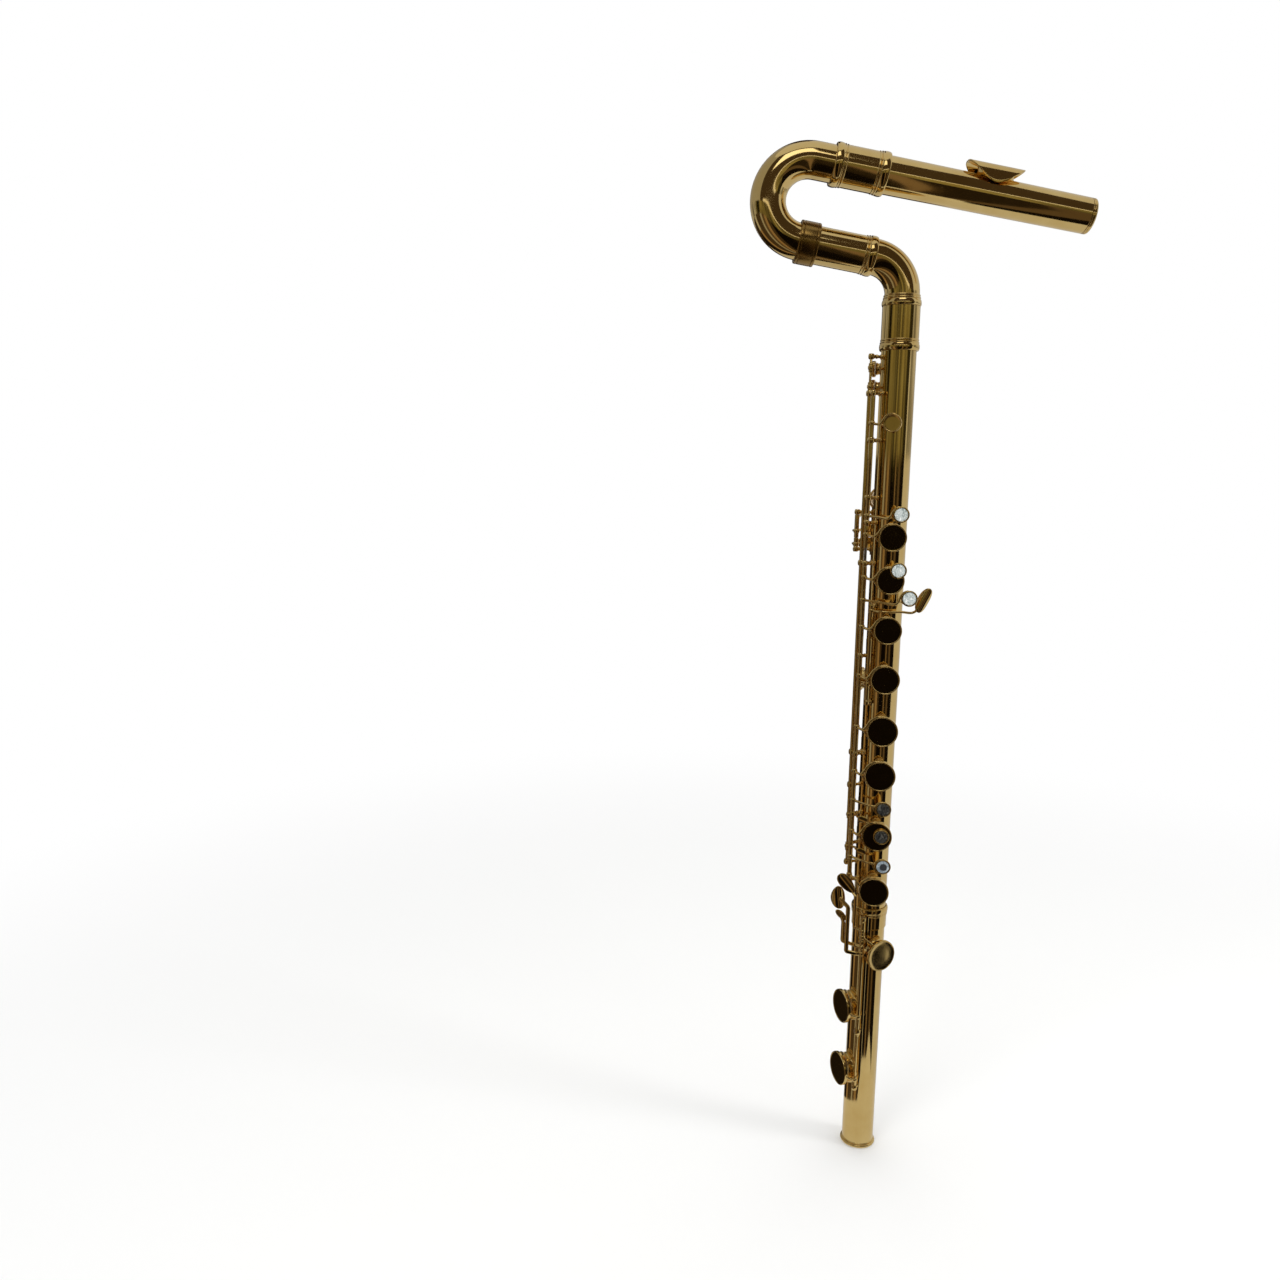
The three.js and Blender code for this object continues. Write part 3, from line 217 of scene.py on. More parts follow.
# One mesh of all the parts, in metres, with its faces turned outwards.
def buildObject(name, parts):
    offset, points, faces = 0, [], []
    for spots, quads, triangles in parts:
        points.append(spots)
        faces += (quads + offset).tolist() + (triangles + offset).tolist()
        offset += len(spots)
    mesh = bpy.data.meshes.new(name)
    mesh.from_pydata((np.concatenate(points) * mm).tolist(), [], faces)
    edit = bmesh.new()
    edit.from_mesh(mesh)
    bmesh.ops.recalc_face_normals(edit, faces=edit.faces)
    edit.to_mesh(mesh)
    edit.free()
    piece = bpy.data.objects.new(name, mesh)
    bpy.context.scene.collection.objects.link(piece)
    return piece


# Builds a piece and cuts its holes, then gives it its finish and body, and hides the CAD nodes it takes the
# place of.
def finishPiece(name, parts, body, material, nodes=(), cutters=()):
    piece = buildObject(name, parts)
    if cutters:
        tool = buildObject(name + "Cutter", cutters)
        difference = piece.modifiers.new("holes", "BOOLEAN")
        difference.operation, difference.solver, difference.object = "DIFFERENCE", "EXACT", tool
        evaluated = piece.evaluated_get(bpy.context.evaluated_depsgraph_get())
        whole = bpy.data.meshes.new_from_object(evaluated)
        piece.modifiers.clear()
        piece.data = whole
        bpy.data.objects.remove(tool)
    piece.data.shade_smooth()
    piece.data.set_sharp_from_angle(angle=math.radians(sharpAngle))
    piece.data.materials.clear()
    piece.data.materials.append(material)
    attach(piece, body)
    if nodes:
        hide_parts(*nodes)


# A value on its way through a material, so that sums and products of values read as plain maths.
class Flow:
    def __init__(self, finish, socket):
        self.finish, self.socket = finish, socket

    def __add__(self, other):
        return self.finish.maths("ADD", self, other)

    def __sub__(self, other):
        return self.finish.maths("SUBTRACT", self, other)

    def __rsub__(self, other):
        return self.finish.maths("SUBTRACT", other, self)

    def __mul__(self, other):
        return self.finish.maths("MULTIPLY", self, other)

    __radd__, __rmul__ = __add__, __mul__


# The nodes of a new material, or of the owner that is given.
class Finish:
    def __init__(self, name, owner=None):
        self.owner = owner or bpy.data.materials.new(name)
        self.owner.use_nodes = True
        self.tree = self.owner.node_tree
        self.tree.nodes.clear()
        self.place = None if owner else self.node("ShaderNodeTexCoord", output="Object")

    # Adds one node: its settings first, then the values or links of its sockets.
    def node(self, kind, settings=None, sockets=None, output=0):
        made = self.tree.nodes.new(kind)
        for key, value in (settings or {}).items():
            if key == "stops":
                for element, (position, colour) in zip(self.rampElements(made, len(value)), value):
                    element.position, element.color = position, (*colour, 1)
            elif key == "interpolation":
                made.color_ramp.interpolation = value
            else:
                setattr(made, key, value)
        for key, value in (sockets or {}).items():
            if isinstance(value, Flow):
                self.tree.links.new(value.socket, made.inputs[key])
            else:
                made.inputs[key].default_value = value
        return Flow(self, made.outputs[output]) if len(made.outputs) else made

    def rampElements(self, ramp, count):
        while len(ramp.color_ramp.elements) < count:
            ramp.color_ramp.elements.new(0.5)
        return ramp.color_ramp.elements

    def maths(self, operation, *values):
        return self.node("ShaderNodeMath", {"operation": operation}, dict(enumerate(values)))

    def noise(self, scale, detail=3, stretch=(1, 1, 1), distortion=0.0):
        spread = self.node("ShaderNodeMapping", None, {"Vector": self.place, "Scale": stretch})
        values = {"Vector": spread, "Scale": scale, "Detail": detail, "Distortion": distortion}
        return self.node("ShaderNodeTexNoise", None, values, "Fac")

    # The distance from a cell's middle, or from its edge.
    def cells(self, scale, feature="F1"):
        values = {"Vector": self.place, "Scale": scale}
        return self.node("ShaderNodeTexVoronoi", {"feature": feature}, values, "Distance")

    def ramp(self, value, *stops):
        return self.node("ShaderNodeValToRGB", {"stops": stops}, {"Fac": value}, "Color")

    # Deep where the value is under the first stop, light where it is over the second.
    def tone(self, value, s):
        low, high = s["stops"]
        return self.ramp(value, (low, s["deep"]), (high, s["light"]))

    # The first colour where the factor is 0 and the second where it is 1, or their product.
    def mixed(self, factor, one, two, blend="MIX"):
        settings = {"data_type": "RGBA", "blend_type": blend}
        return self.node("ShaderNodeMix", settings, {0: factor, 6: one, 7: two}, 2)

    def glow(self, colour):
        return self.node("ShaderNodeEmission", None, {"Color": colour, "Strength": 1.0})

    # 1 where the camera, a reflection or a clear piece sees the surface, and 0 where light reaches it.
    def seen(self):
        kinds = ("Camera", "Glossy", "Transmission")
        rays = [self.node("ShaderNodeLightPath", output=f"Is {kind} Ray") for kind in kinds]
        return self.maths("MAXIMUM", self.maths("MAXIMUM", *rays[:2]), rays[2])

    # Links the last shader to the output, which gives the finished material or world.
    def end(self, shader, kind="Material"):
        self.node("ShaderNodeOutput" + kind, None, {"Surface": shader})
        return self.owner

    # Roughness is the grain times its spread, over the least roughness. The relief becomes a bump.
    def surface(self, s, colour, grain, relief):
        strength, distance = s["bump"]
        values = {"Height": relief, "Strength": strength, "Distance": distance}
        return self.end(self.node("ShaderNodeBsdfPrincipled", None, {
            "Base Color": colour, "Metallic": s.get("metal", 0.0), "Coat Weight": s.get("coat", 0.0),
            "Roughness": grain * s["spread"] + s["roughness"], "Coat Roughness": 0.05,
            "Normal": self.node("ShaderNodeBump", None, values),
        }))


# Finishes: colours are linear, and "bump" is a strength and a height in metres
goldSettings = {
    "light": (0.83, 0.61, 0.245), "deep": (0.72, 0.49, 0.165), "stops": (0.3, 0.72), "patch": 38,
    "polish": 420, "roughness": 0.045, "spread": 0.08, "bump": (0.006, 0.0004), "metal": 1.0, "coat": 0.2,
}


def goldLacquer(s):
    f = Finish("goldLacquer")
    streak = f.noise(90, 2, (1, 1, 0.08))
    colour = f.tone(f.noise(s["patch"], 4) * 0.7 + streak * 0.3, s)
    polish = f.noise(s["polish"], 2) + f.noise(60, 2)
    return f.surface(s, colour, f.noise(120, 5), polish)


brassSettings = {
    "light": (0.36, 0.22, 0.06), "deep": (0.29, 0.17, 0.045), "stops": (0.3, 0.75), "grain": 900,
    "roughness": 0.2, "spread": 0.06, "bump": (0.05, 0.0002), "metal": 1.0,
}


def satinBrass(s):
    f = Finish("satinBrass")
    grain = f.noise(s["grain"], 2, (0.06, 1, 1))
    return f.surface(s, f.tone(f.noise(60, 4) * 0.6 + grain * 0.4, s), grain, grain)


steelSettings = {
    "light": (0.60, 0.57, 0.52), "deep": (0.36, 0.33, 0.30), "stops": (0.3, 0.7), "grain": 700,
    "roughness": 0.2, "spread": 0.12, "bump": (0.1, 0.0001), "metal": 1.0,
}


def rodSteel(s):
    f = Finish("rodSteel")
    drawn = f.noise(s["grain"], 2, (1, 1, 0.03))
    return f.surface(s, f.tone(f.noise(80, 3) * 0.5 + drawn * 0.5, s), drawn, drawn)


padSettings = {
    "light": (0.74, 0.60, 0.40), "deep": (0.55, 0.40, 0.24), "stops": (0.3, 0.7), "creases": 900,
    "roughness": 0.62, "spread": 0.2, "bump": (0.3, 0.0002),
}


def padSkin(s):
    f = Finish("padSkin")
    relief = f.noise(700, 3) + f.cells(s["creases"], "DISTANCE_TO_EDGE") * 0.5
    return f.surface(s, f.tone(f.noise(160, 5), s), f.noise(300, 3), relief)


pearlCoat = {"spread": 0.1, "bump": (0.04, 0.0002), "coat": 0.6, "eye": None}
pearlSettings = {
    "pearlWhite": {**pearlCoat, "roughness": 0.14, "stops": (
        (0.40, (0.26, 0.31, 0.30)), (0.47, (0.62, 0.66, 0.64)), (0.53, (0.40, 0.46, 0.45)),
        (0.60, (0.84, 0.85, 0.82)),
    )},
    "pearlDark": {**pearlCoat, "roughness": 0.1, "stops": (
        (0.40, (0.010, 0.010, 0.009)), (0.48, (0.035, 0.034, 0.030)), (0.53, (0.018, 0.018, 0.016)),
        (0.60, (0.075, 0.072, 0.062)),
    )},
    "pearlEye": {**pearlCoat, "roughness": 0.12, "eye": (4.2, 309, 3.6), "stops": (
        (0.4, (0.18, 0.22, 0.25)), (0.5, (0.32, 0.37, 0.40)), (0.6, (0.48, 0.53, 0.55)),
    )},  # the eye has the place across, the height and the radius of the dark middle
}


def pearlShell(name, s):
    f = Finish(name)
    warp = f.noise(140, 3)
    layers = f.noise(330, 3, (1, 0.2, 0.6), 1.4)
    colour = f.ramp(layers * 0.8 + warp * 0.2, *s["stops"])
    if s["eye"]:
        across, height, radius = (v * mm for v in s["eye"])
        face = f.node("ShaderNodeVectorMath", {"operation": "MULTIPLY"}, {0: f.place, 1: (1, 0, 1)})
        ends = {0: face, 1: (across, 0, height)}
        away = f.node("ShaderNodeVectorMath", {"operation": "DISTANCE"}, ends, "Value")
        ring = f.ramp(away * (0.5 / radius) + layers * 0.12, (0.5, (0, 0, 0)), (0.64, (1, 1, 1)))
        colour = f.mixed(ring, (0.03, 0.032, 0.035, 1), colour)
    return f.surface(s, colour, warp, layers)


corkSettings = {
    "light": (0.55, 0.34, 0.17), "deep": (0.22, 0.11, 0.05), "stops": (0.25, 0.6), "grain": 900,
    "roughness": 0.85, "spread": 0.1, "bump": (0.4, 0.0004),
}


def corkBrown(s):
    f = Finish("corkBrown")
    grains = f.cells(s["grain"])
    return f.surface(s, f.tone(grains * 0.6 + f.noise(500, 4) * 0.4, s), grains, grains)


gold = goldLacquer(goldSettings)
brass = satinBrass(brassSettings)
steel = rodSteel(steelSettings)
padLeather = padSkin(padSettings)
pearls = {name: pearlShell(name, s) for name, s in pearlSettings.items()}
cork = corkBrown(corkSettings)
print("stage: finishes made")


# Most pieces are gold lacquer.
def goldPiece(name, parts, body, nodes, cutters=()):
    finishPiece(name, parts, body, gold, nodes, cutters=cutters)


# Raised beads on a tube. A bead's arc is its lift times the root of 1 less the square of the
# distance from its middle over its half width. The highest arc is added to the radius.
def beaded(heights, radius, beads):
    heights = np.asarray(heights, float)
    middle, half, lift = np.array(beads, float).T[:, :, None]
    arcs = lift * np.sqrt(np.clip(1 - ((heights - middle) / half) ** 2, 0, 1))
    return np.stack([radius + np.max(arcs, axis=0), heights], -1)


# The beads of one end ring, from a tube's end inwards: one wide hump, then two fine beads.
# Each has its middle, its half width and its lift.
ringShape = {"main": (3.6, 3.6, 1.1), "fine": (7.6, 0.8, 0.75), "last": (9.9, 0.8, 0.45)}


# The ring's beads at a tube's end, for the profile to draw. The scale stretches them along the tube.
def ringBeads(end, inwards, scale=1.0):
    return [(end + inwards * middle * scale, half * scale, lift) for middle, half, lift in ringShape.values()]


# The heights near a tube's end that draw its beads.
def ringRows(end, inwards, scale=1.0):
    span = max(middle + half for middle, half, _ in ringShape.values()) + 0.1
    return np.sort(end + inwards * np.linspace(0, span * scale, 72))


# A straight tube with a wall: the outside has its beads, and the inside comes back down.
def wallTube(low, high, outer, inner, beads=(), rows=(), sides=128):
    heights = np.unique(np.concatenate([[low, high], *rows]))
    plain = np.stack([np.full(len(heights), outer), heights], -1)
    outside = beaded(heights, outer, beads) if beads else plain
    inside = np.array([[inner, high], [inner, low]])
    return turned(np.concatenate([outside, inside]), sides, wrap=True)


# Outside and inside say how much less than the cup's radius the chimney's radii are
chimneyShape = {"outside": 2.3, "inside": 3.5, "fillet": 1.1}


# The chimney of a tone hole. Its foot follows the tube in a fillet, the rim flares and rolls over.
# The tube's surface under a point is the root of the radius squared less the place across squared.
def chimney(hole, sides=96):
    height, angle, cup = holes[hole]
    outer, inner, fillet = cup - chimneyShape["outside"], cup - chimneyShape["inside"], chimneyShape["fillet"]
    turn = np.linspace(0, 2 * np.pi, sides, endpoint=False)
    def row(radius, rise, carrier=None):
        across = radius * np.cos(turn)
        base = np.sqrt(np.maximum(carrier**2 - across**2, 0)) if carrier else np.zeros(sides)
        return np.stack([across, radius * np.sin(turn), base + rise], -1)
    foot = [row(outer + fillet * (1 - math.sin(t)), fillet * (1 - math.cos(t)), tube["radius"])
            for t in np.linspace(0, np.pi / 2, 7)]
    rim = [row(outer + grow, tube["rim"] - drop) for grow, drop in (
        (0, 1.5), (0.12, 1.1), (0.4, 0.75), (0.62, 0.5), (0.68, 0.3), (0.58, 0.1), (0.36, 0), (0, 0),
        (-0.5, 0.03), (-0.9, 0.25), (-1.2, 0.8))]
    inside = [row(inner, 0.05, tube["bore"]), row(outer + fillet, -0.5, tube["radius"])]
    return faceOut(shell(np.stack(foot + rim + inside), wrap=True), angle, 0, height)


# The plug that cuts a tone hole through the tube.
def holeCutter(hole):
    height, angle, cup = holes[hole]
    radius = cup - chimneyShape["inside"]
    return faceOut(turned([[radius, 5], [radius, 21]], 96), angle, 0, height)


# Main tubes
footSettings = {
    "socketTop": 259, "socketDepth": 21, "socketWall": 0.8, "bead": 17.5, "beadLength": 3.2, "ringScale": 0.8,
}
bodySettings = {
    "low": 238.3, "high": 801, "barrelLow": 795.5, "barrelHigh": 834.8, "barrelWall": 1, "ringScale": 0.95,
}


def makeTubes(foot, body):
    footHoles = ["lowC", "lowCSharp", "eFlat"]
    bodyHoles = [h for h in holes if h not in footHoles]
    top, bore = foot["socketTop"], tube["bore"]
    low, half = top - foot["socketDepth"], foot["beadLength"] / 2
    socketInner = tube["radius"] + tube["fit"]
    lowBeads = [(half, half, foot["bead"] - tube["radius"]), (4.4, 0.6, 0.5)]
    lower = beaded(np.concatenate([np.linspace(0, 5.2, 40), [low - 0.8]]), tube["radius"], lowBeads)
    heights = np.concatenate([[low + 0.2], ringRows(top, -1, foot["ringScale"])])
    upper = beaded(heights, socketInner + foot["socketWall"], ringBeads(top, -1, foot["ringScale"]))
    inside = np.array([[socketInner, top], [socketInner, low], [bore, low], [bore, 0]])
    footWall = turned(np.concatenate([lower, upper, inside]), 144, wrap=True)
    bodyWall = wallTube(body["low"], body["high"], tube["radius"], bore, sides=144)
    for part, wall, names in (("foot", footWall, footHoles), ("body", bodyWall, bodyHoles)):
        node = part + "_tube"
        goldPiece(part + "Tube", [wall], part, [node], [holeCutter(h) for h in names])
        goldPiece(part + "Chimneys", [chimney(h) for h in names], part, [node])
    low, high, scale = body["barrelLow"], body["barrelHigh"], body["ringScale"]
    beads, rows = ringBeads(low, 1, scale), [ringRows(low, 1, scale)]
    barrel = wallTube(low, high, socketInner + body["barrelWall"], socketInner, beads, rows)
    goldPiece("barrel", [barrel], "body", ["barrel"])


makeTubes(footSettings, bodySettings)
print("stage: tubes made")

# Head: its own frame starts at the end of the elbow, sloped down towards the crown
headSettings = {
    "slope": 10, "elbowRadius": 33.3, "elbowLow": 845.3, "tenonEnd": 801.5, "shoulder": 835.1,
    "neckTenon": 14, "neckRun": 69.5, "bendRadius": 35.3, "bendTube": 16.15, "bendOut": 28.5,
    "collar": (19, 53, 71), "socket": (5, 54, 18), "socketTenon": 13.3, "tubeWide": 16.5,
    "tubeCrown": 15.5, "wall": 0.8, "tenonStart": -40.4, "mouth": -5, "end": 179.7, "lip": 91.4,
}
headAxis = 2 * headSettings["bendRadius"]
elbowTurn = math.radians(90 - headSettings["slope"])
elbowEnd = (
    headSettings["elbowRadius"] * (math.cos(elbowTurn) - 1),
    headSettings["elbowLow"] + headSettings["elbowRadius"] * math.sin(elbowTurn),
)


# From the head's frame to the flute's: turned down by the slope, then moved to the elbow's end.
def headPlace(part):
    c, s = math.cos(math.radians(headSettings["slope"])), math.sin(math.radians(headSettings["slope"]))
    def change(p):
        x = p[:, 0] * c + p[:, 2] * s + elbowEnd[0]
        return np.stack([x, p[:, 1], -p[:, 0] * s + p[:, 2] * c + elbowEnd[1]], -1)
    return moved(part, change)


# Laid back along -X, as the neck's pieces are, or out along +X, as the head tube's are.
def laidBack(part, height=0):
    return headPlace(moved(part, lambda p: np.stack([-p[:, 2], p[:, 1], p[:, 0] + height], -1)))


def laidOut(part, height=headAxis):
    return headPlace(moved(part, lambda p: np.stack([p[:, 2], p[:, 1], height - p[:, 0]], -1)))


# A bent tube with a wall: a straight, an arc and a straight in the XZ plane, each ring square to the
# path. Along the arc the middle moves by the radius times the change in the heading's sine and cosine.
def bentTube(start, heading, leadIn, radius, turn, leadOut, outer, inner, steps=48, sides=96):
    angles = np.concatenate([[0], np.linspace(0, 1, steps), [1]]) * math.radians(turn)
    before = np.concatenate([[0], np.full(steps + 1, leadIn)])
    after = np.concatenate([np.zeros(steps + 1), [leadOut]])
    first = math.radians(heading)
    to = first + angles
    reach = math.copysign(radius, turn)
    x = start[0] + before * math.cos(first) + reach * (np.sin(to) - math.sin(first)) + after * np.cos(to)
    z = start[1] + before * math.sin(first) - reach * (np.cos(to) - math.cos(first)) + after * np.sin(to)
    around = np.linspace(0, 2 * np.pi, sides, endpoint=False)
    normal = np.stack([-np.sin(to), np.zeros_like(to), np.cos(to)], -1)
    middle = np.stack([x, np.zeros_like(x), z], -1)
    cosine, sine = np.cos(around)[None, :, None], np.sin(around)[None, :, None]
    ring = cosine * normal[:, None] + sine * np.array([0, 1.0, 0])
    outside, inside = middle[:, None] + outer * ring, middle[:, None] + inner * ring
    return shell(np.concatenate([outside, inside[::-1]]), wrap=True)


def makeNeck(s):
    leadIn, turn = s["elbowLow"] - s["tenonEnd"], 90 - s["slope"]
    bend = bentTube((0, s["tenonEnd"]), 90, leadIn, s["elbowRadius"], turn, s["neckTenon"],
                    tube["radius"], tube["bore"])
    low, high, within = s["shoulder"], s["elbowLow"], tube["radius"] - 0.5
    beads = [(low + 3.1, 3.1, 1.05), (low + 7.1, 0.8, 0.7), (low + 9.2, 0.75, 0.5)]
    rows = beaded(np.linspace(low, high, 72), np.linspace(17.1, 16, 72), beads)
    shoulder = turned(np.concatenate([rows, [[within, high], [within, low]]]), 128, True)
    goldPiece("elbow", [bend, shoulder], "head_bend", ["elbow"])
    inner = tube["radius"] + tube["fit"]
    neck = wallTube(0, s["neckRun"] - 1.3, inner + 0.5, inner, ringBeads(0, 1), [ringRows(0, 1)])
    goldPiece("neckSleeve", [laidBack(neck)], "head_bend", ["neck_sleeve"])
    outer, low, high = s["collar"]
    deep = outer - 0.45
    groove = [(outer, 2.6, 0.15), (deep, 2.85, 0.1), (deep, 3.15, 0.1), (outer, 3.4, 0.15)]
    corners = [(outer, low, 1.7), *((r, low + z, soft) for r, z, soft in groove),
               *((r, high - z, soft) for r, z, soft in groove[::-1]), (outer, high, 1.7),
               (inner + 0.8, high, 0.2), (inner + 0.8, low, 0.2)]
    collar = turned(rounded(corners, closed=True, steps=6), 128, wrap=True)
    finishPiece("bendCollar", [laidBack(collar)], "head_bend", brass, ["bend_collar"])
    radius = s["bendTube"]
    bend = bentTube((1 - s["neckRun"], 0), 180, 1, s["bendRadius"], -180, s["bendOut"], radius,
                    radius - s["wall"], steps=96, sides=128)
    goldPiece("headBend", [headPlace(bend)], "head_bend", ["head_bend"])
    low, high, outer = s["socket"]
    beads = ringBeads(low, 1) + ringBeads(high, -1)
    heights = np.unique(np.concatenate([ringRows(low, 1), ringRows(high, -1), [low, high]]))
    bendInner, headInner = radius + tube["fit"], s["tubeWide"] + tube["fit"]
    step = high - s["socketTenon"]
    inside = [[bendInner, high], [bendInner, step], [headInner, step], [headInner, low]]
    socket = turned(np.concatenate([beaded(heights, outer, beads), inside]), 128, wrap=True)
    goldPiece("bendSocket", [laidBack(socket, headAxis)], "head_bend", ["bend_socket"])


makeNeck(headSettings)

lipSettings = {
    "size": (52, 33), "shift": -1.6, "squareness": 0.72, "section": (16.6, 22.4, 2.6), "rise": 9.6,
    "thickness": 1.4, "hole": (15, 12.5), "riser": (34, 23), "points": 160,
}


# An outline of half the size times the cosine and sine, each to the power; under 1 it is squarer.
def oval(size, power=1.0):
    turn = np.linspace(0, 2 * np.pi, lipSettings["points"], endpoint=False)
    ring = np.stack([np.cos(turn), np.sin(turn)], -1)
    return np.sign(ring) * np.abs(ring) ** power * np.array(size) / 2


def makeHeadTube(s, lip):
    wide, narrow = (s["tubeWide"], s["tubeWide"] - s["wall"]), (s["tubeCrown"], s["tubeCrown"] - s["wall"])
    corners = [(wide[0], s["tenonStart"], 0.3), (wide[0], s["mouth"]), (narrow[0], s["end"], 0.3),
               (narrow[1], s["end"], 0.2), (wide[1], s["mouth"]), (wide[1], s["tenonStart"], 0.2)]
    cone = turned(rounded(corners, closed=True), 144, wrap=True)
    hole = lifted(oval(lip["hole"]) + [s["lip"], 0], (headAxis, headAxis + 22))
    goldPiece("headTube", [laidOut(cone)], "head", ["head_tube"], [headPlace(shell(hole))])


# Lip plate: an oval bent over the tube like a saddle, one closed surface that runs up the inside of
# the hole, over the plate, round its edge, back underneath and down the outside of the riser. Its
# section is a superellipse: (y / half width) and (height / rise), each to the power, add up to 1.
def makeLipPlate(s, lip):
    hole, riser = oval(lip["hole"]), oval(lip["riser"])
    outline = oval(lip["size"], lip["squareness"]) + [lip["shift"], 0]
    half, tall, power = lip["section"]
    axis, thick = headAxis + s["tubeWide"] + lip["rise"] - tall, lip["thickness"]
    def row(share, depth, grow=0.0, level=None, inner=hole):
        within = inner * (1 + grow / 7)
        flat = within + (outline - within) * share
        x, y = flat[:, 0] + s["lip"], flat[:, 1]
        if level is not None:
            return np.stack([x, y, np.broadcast_to(level, len(y))], -1)
        height = tall * (1 - (np.abs(y) / half) ** power) ** (1 / power)
        slope = np.sign(y) * np.abs(y) ** (power - 1) / half**power
        normal = unit(np.stack([slope, height ** (power - 1) / tall**power], -1))
        return np.stack([x, y - depth * normal[:, 0], axis + height - depth * normal[:, 1]], -1)
    seat = headAxis + np.sqrt(s["tubeWide"] ** 2 - riser[:, 1] ** 2) - 0.8
    rows = [row(0, 0, 0, headAxis + 13), row(0, 1.0), row(0, 0.35, 0.1), row(0, 0.08, 0.35), row(0, 0, 0.8)]
    rows += [row(share, 0) for share in np.linspace(0.06, 0.97, 20)]
    edge = ((0.99, 0.1), (1, 0.45), (1, thick - 0.45), (0.99, thick - 0.1))
    rows += [row(share, depth) for share, depth in edge]
    rows += [row(share, thick, inner=riser) for share in np.linspace(0.97, 0.1, 12)]
    rows += [row(0.05, thick + 0.3, inner=riser), row(0.01, thick + 1.0, inner=riser)]
    rows += [row(0, 0, grow, seat + rise, riser) for grow, rise in ((-0.3, 2.4), (-0.2, 1.2), (0.1, 0))]
    goldPiece("lipPlate", [headPlace(shell(np.stack(rows), wrap=True))], "head", ["lip_plate"])


def makeCrown(s):
    flange, end = s["tubeCrown"], s["end"]
    cap = rounded([
        (flange - 0.6, end + 0.3), (flange, end + 0.35, 0.3), (flange, end + 1.4, 0.3),
        (flange - 0.45, end + 1.55, 0.1), (flange - 0.45, end + 1.85, 0.1),
        (flange - 0.05, end + 2.0, 0.3), (flange - 0.05, end + 3.7, 1.2), (flange - 1.6, end + 4.9, 1),
        (flange - 6, end + 5.7, 3), (1, end + 6.1, 2), (axisPoint, end + 6.15),
    ], steps=6)
    plug = [[2.9, end + 0.3], [2.9, end - 9], [14.4, end - 9], [14.4, end + 0.3]]
    goldPiece("crown", [laidOut(turned(np.concatenate([plug, cap]), 128))], "crown", ["crown"])


def makeStopper(s):
    start, end, wide, screw = s["lip"] + 27, s["end"] - 3, 14.1, 2.6
    plates = [[axisPoint, start], [wide - 0.3, start], [wide, start + 0.3], [wide, start + 1.5],
              [screw, start + 1.5], [screw, start + 22.1], [wide, start + 22.1], [wide, start + 23.6],
              [screw, start + 23.6], [screw, end], [axisPoint, end]]
    steelPart = laidOut(turned(plates, 96))
    finishPiece("stopperScrew", [steelPart], "stopper", steel, ["stopper_screw"])
    low, high = start + 1.8, start + 21.8
    corners = rounded([(wide, low, 0.4), (wide, high, 0.4), (2.9, high), (2.9, low)], closed=True)
    corkPart = laidOut(turned(corners, 96, wrap=True))
    finishPiece("stopperCork", [corkPart], "stopper", cork, ["stopper_cork"])


makeHeadTube(headSettings, lipSettings)
makeLipPlate(headSettings, lipSettings)
makeCrown(headSettings)
makeStopper(headSettings)
print("stage: head made")

# Heights of the posts on each rod
posts = {
    "main": [757, 639, 601, 513, 417, 357, 327, 289], "longGuides": [714.5, 662],
    "trillGuides": [757, 601, 417, 384], "trill": [790, 305], "sharp": [468, 561],
    "thumb": [613, 648], "foot": [250, 226, 131, 70],
}
postShape = {"stem": 1.4, "foot": 2.6, "ball": 2.75, "half": 2.5}
postSleeve = (351.7, 355.0)


# A rod's angle round the tube from the front, and its distance from the tube's middle.
def rodPolar(hinge):
    x, y = hinges[hinge]
    return math.degrees(math.atan2(x, -y)), math.hypot(x, y)


# A hub that bulges like a ball round its rod, on a turned stem that stands on the strap.
def post(hinge, height, bore, radius=None, lift=0.0):
    angle, distance = rodPolar(hinge)
    ball, half = radius or postShape["ball"], postShape["half"]
    z = np.linspace(-half, half, 14)
    bulge = np.sqrt(np.maximum(ball**2 - (z * 0.72) ** 2, 0.1))
    inside = [[bore + 0.15, half], [bore + 0.15, -half]]
    hub = turned(np.concatenate([np.stack([bulge, z], -1), inside]), 40, wrap=True)
    low = tube["radius"] + tube["fit"] + lift + 0.6
    top = distance - ball * 0.55
    neck, foot, run = postShape["stem"], postShape["foot"], top - low
    stem = rounded([
        (axisPoint, low), (foot, low), (foot, low + 0.9, 0.3), (neck, low + 1.5, 0.7),
        (neck, low + run * 0.45, 0.4), (neck + 0.75, low + run * 0.55, 0.5),
        (neck + 0.1, low + run * 0.68, 0.6), (neck + 0.9, top + 0.6, 0.3), (axisPoint, top + 1.0),
    ], steps=5)
    return [shifted(hub, *hinges[hinge], height), faceOut(turned(stem, 32), angle, 0, height)]


# A curved strap between two angles and two heights, with rounded long edges.
def strap(fromAngle, toAngle, low, high, lift=0.0, thickness=1.2):
    inner = tube["radius"] + tube["fit"] + lift
    outer = inner + thickness
    turns = np.radians(np.linspace(fromAngle, toAngle, 12))
    soft = math.radians(0.9) * math.copysign(1, toAngle - fromAngle)
    first, last, edge = turns[:1], turns[-1:], [outer - 0.35]
    angles = np.concatenate([first, first + soft, turns[1:-1], last - soft, last, turns[::-1]])
    radii = np.concatenate([edge, np.full(len(turns), outer), edge, np.full(len(turns), inner)])
    outline = np.stack([np.sin(angles) * radii, -np.cos(angles) * radii], -1)
    return shell(lifted(outline, (low, high)))


# A needle spring half way between the tube and its rod's near side.
def needle(hinge, height, length=16.0):
    angle, distance = rodPolar(hinge)
    away = (tube["radius"] + distance - 2.2) / 2
    spot = outward(angle) * away + up * height
    tip = spot + up * length + outward(angle) * 0.5
    return bar([spot, (spot + tip) / 2, tip], 0.38, sides=8, steps=8, widths=(1, 0.6))


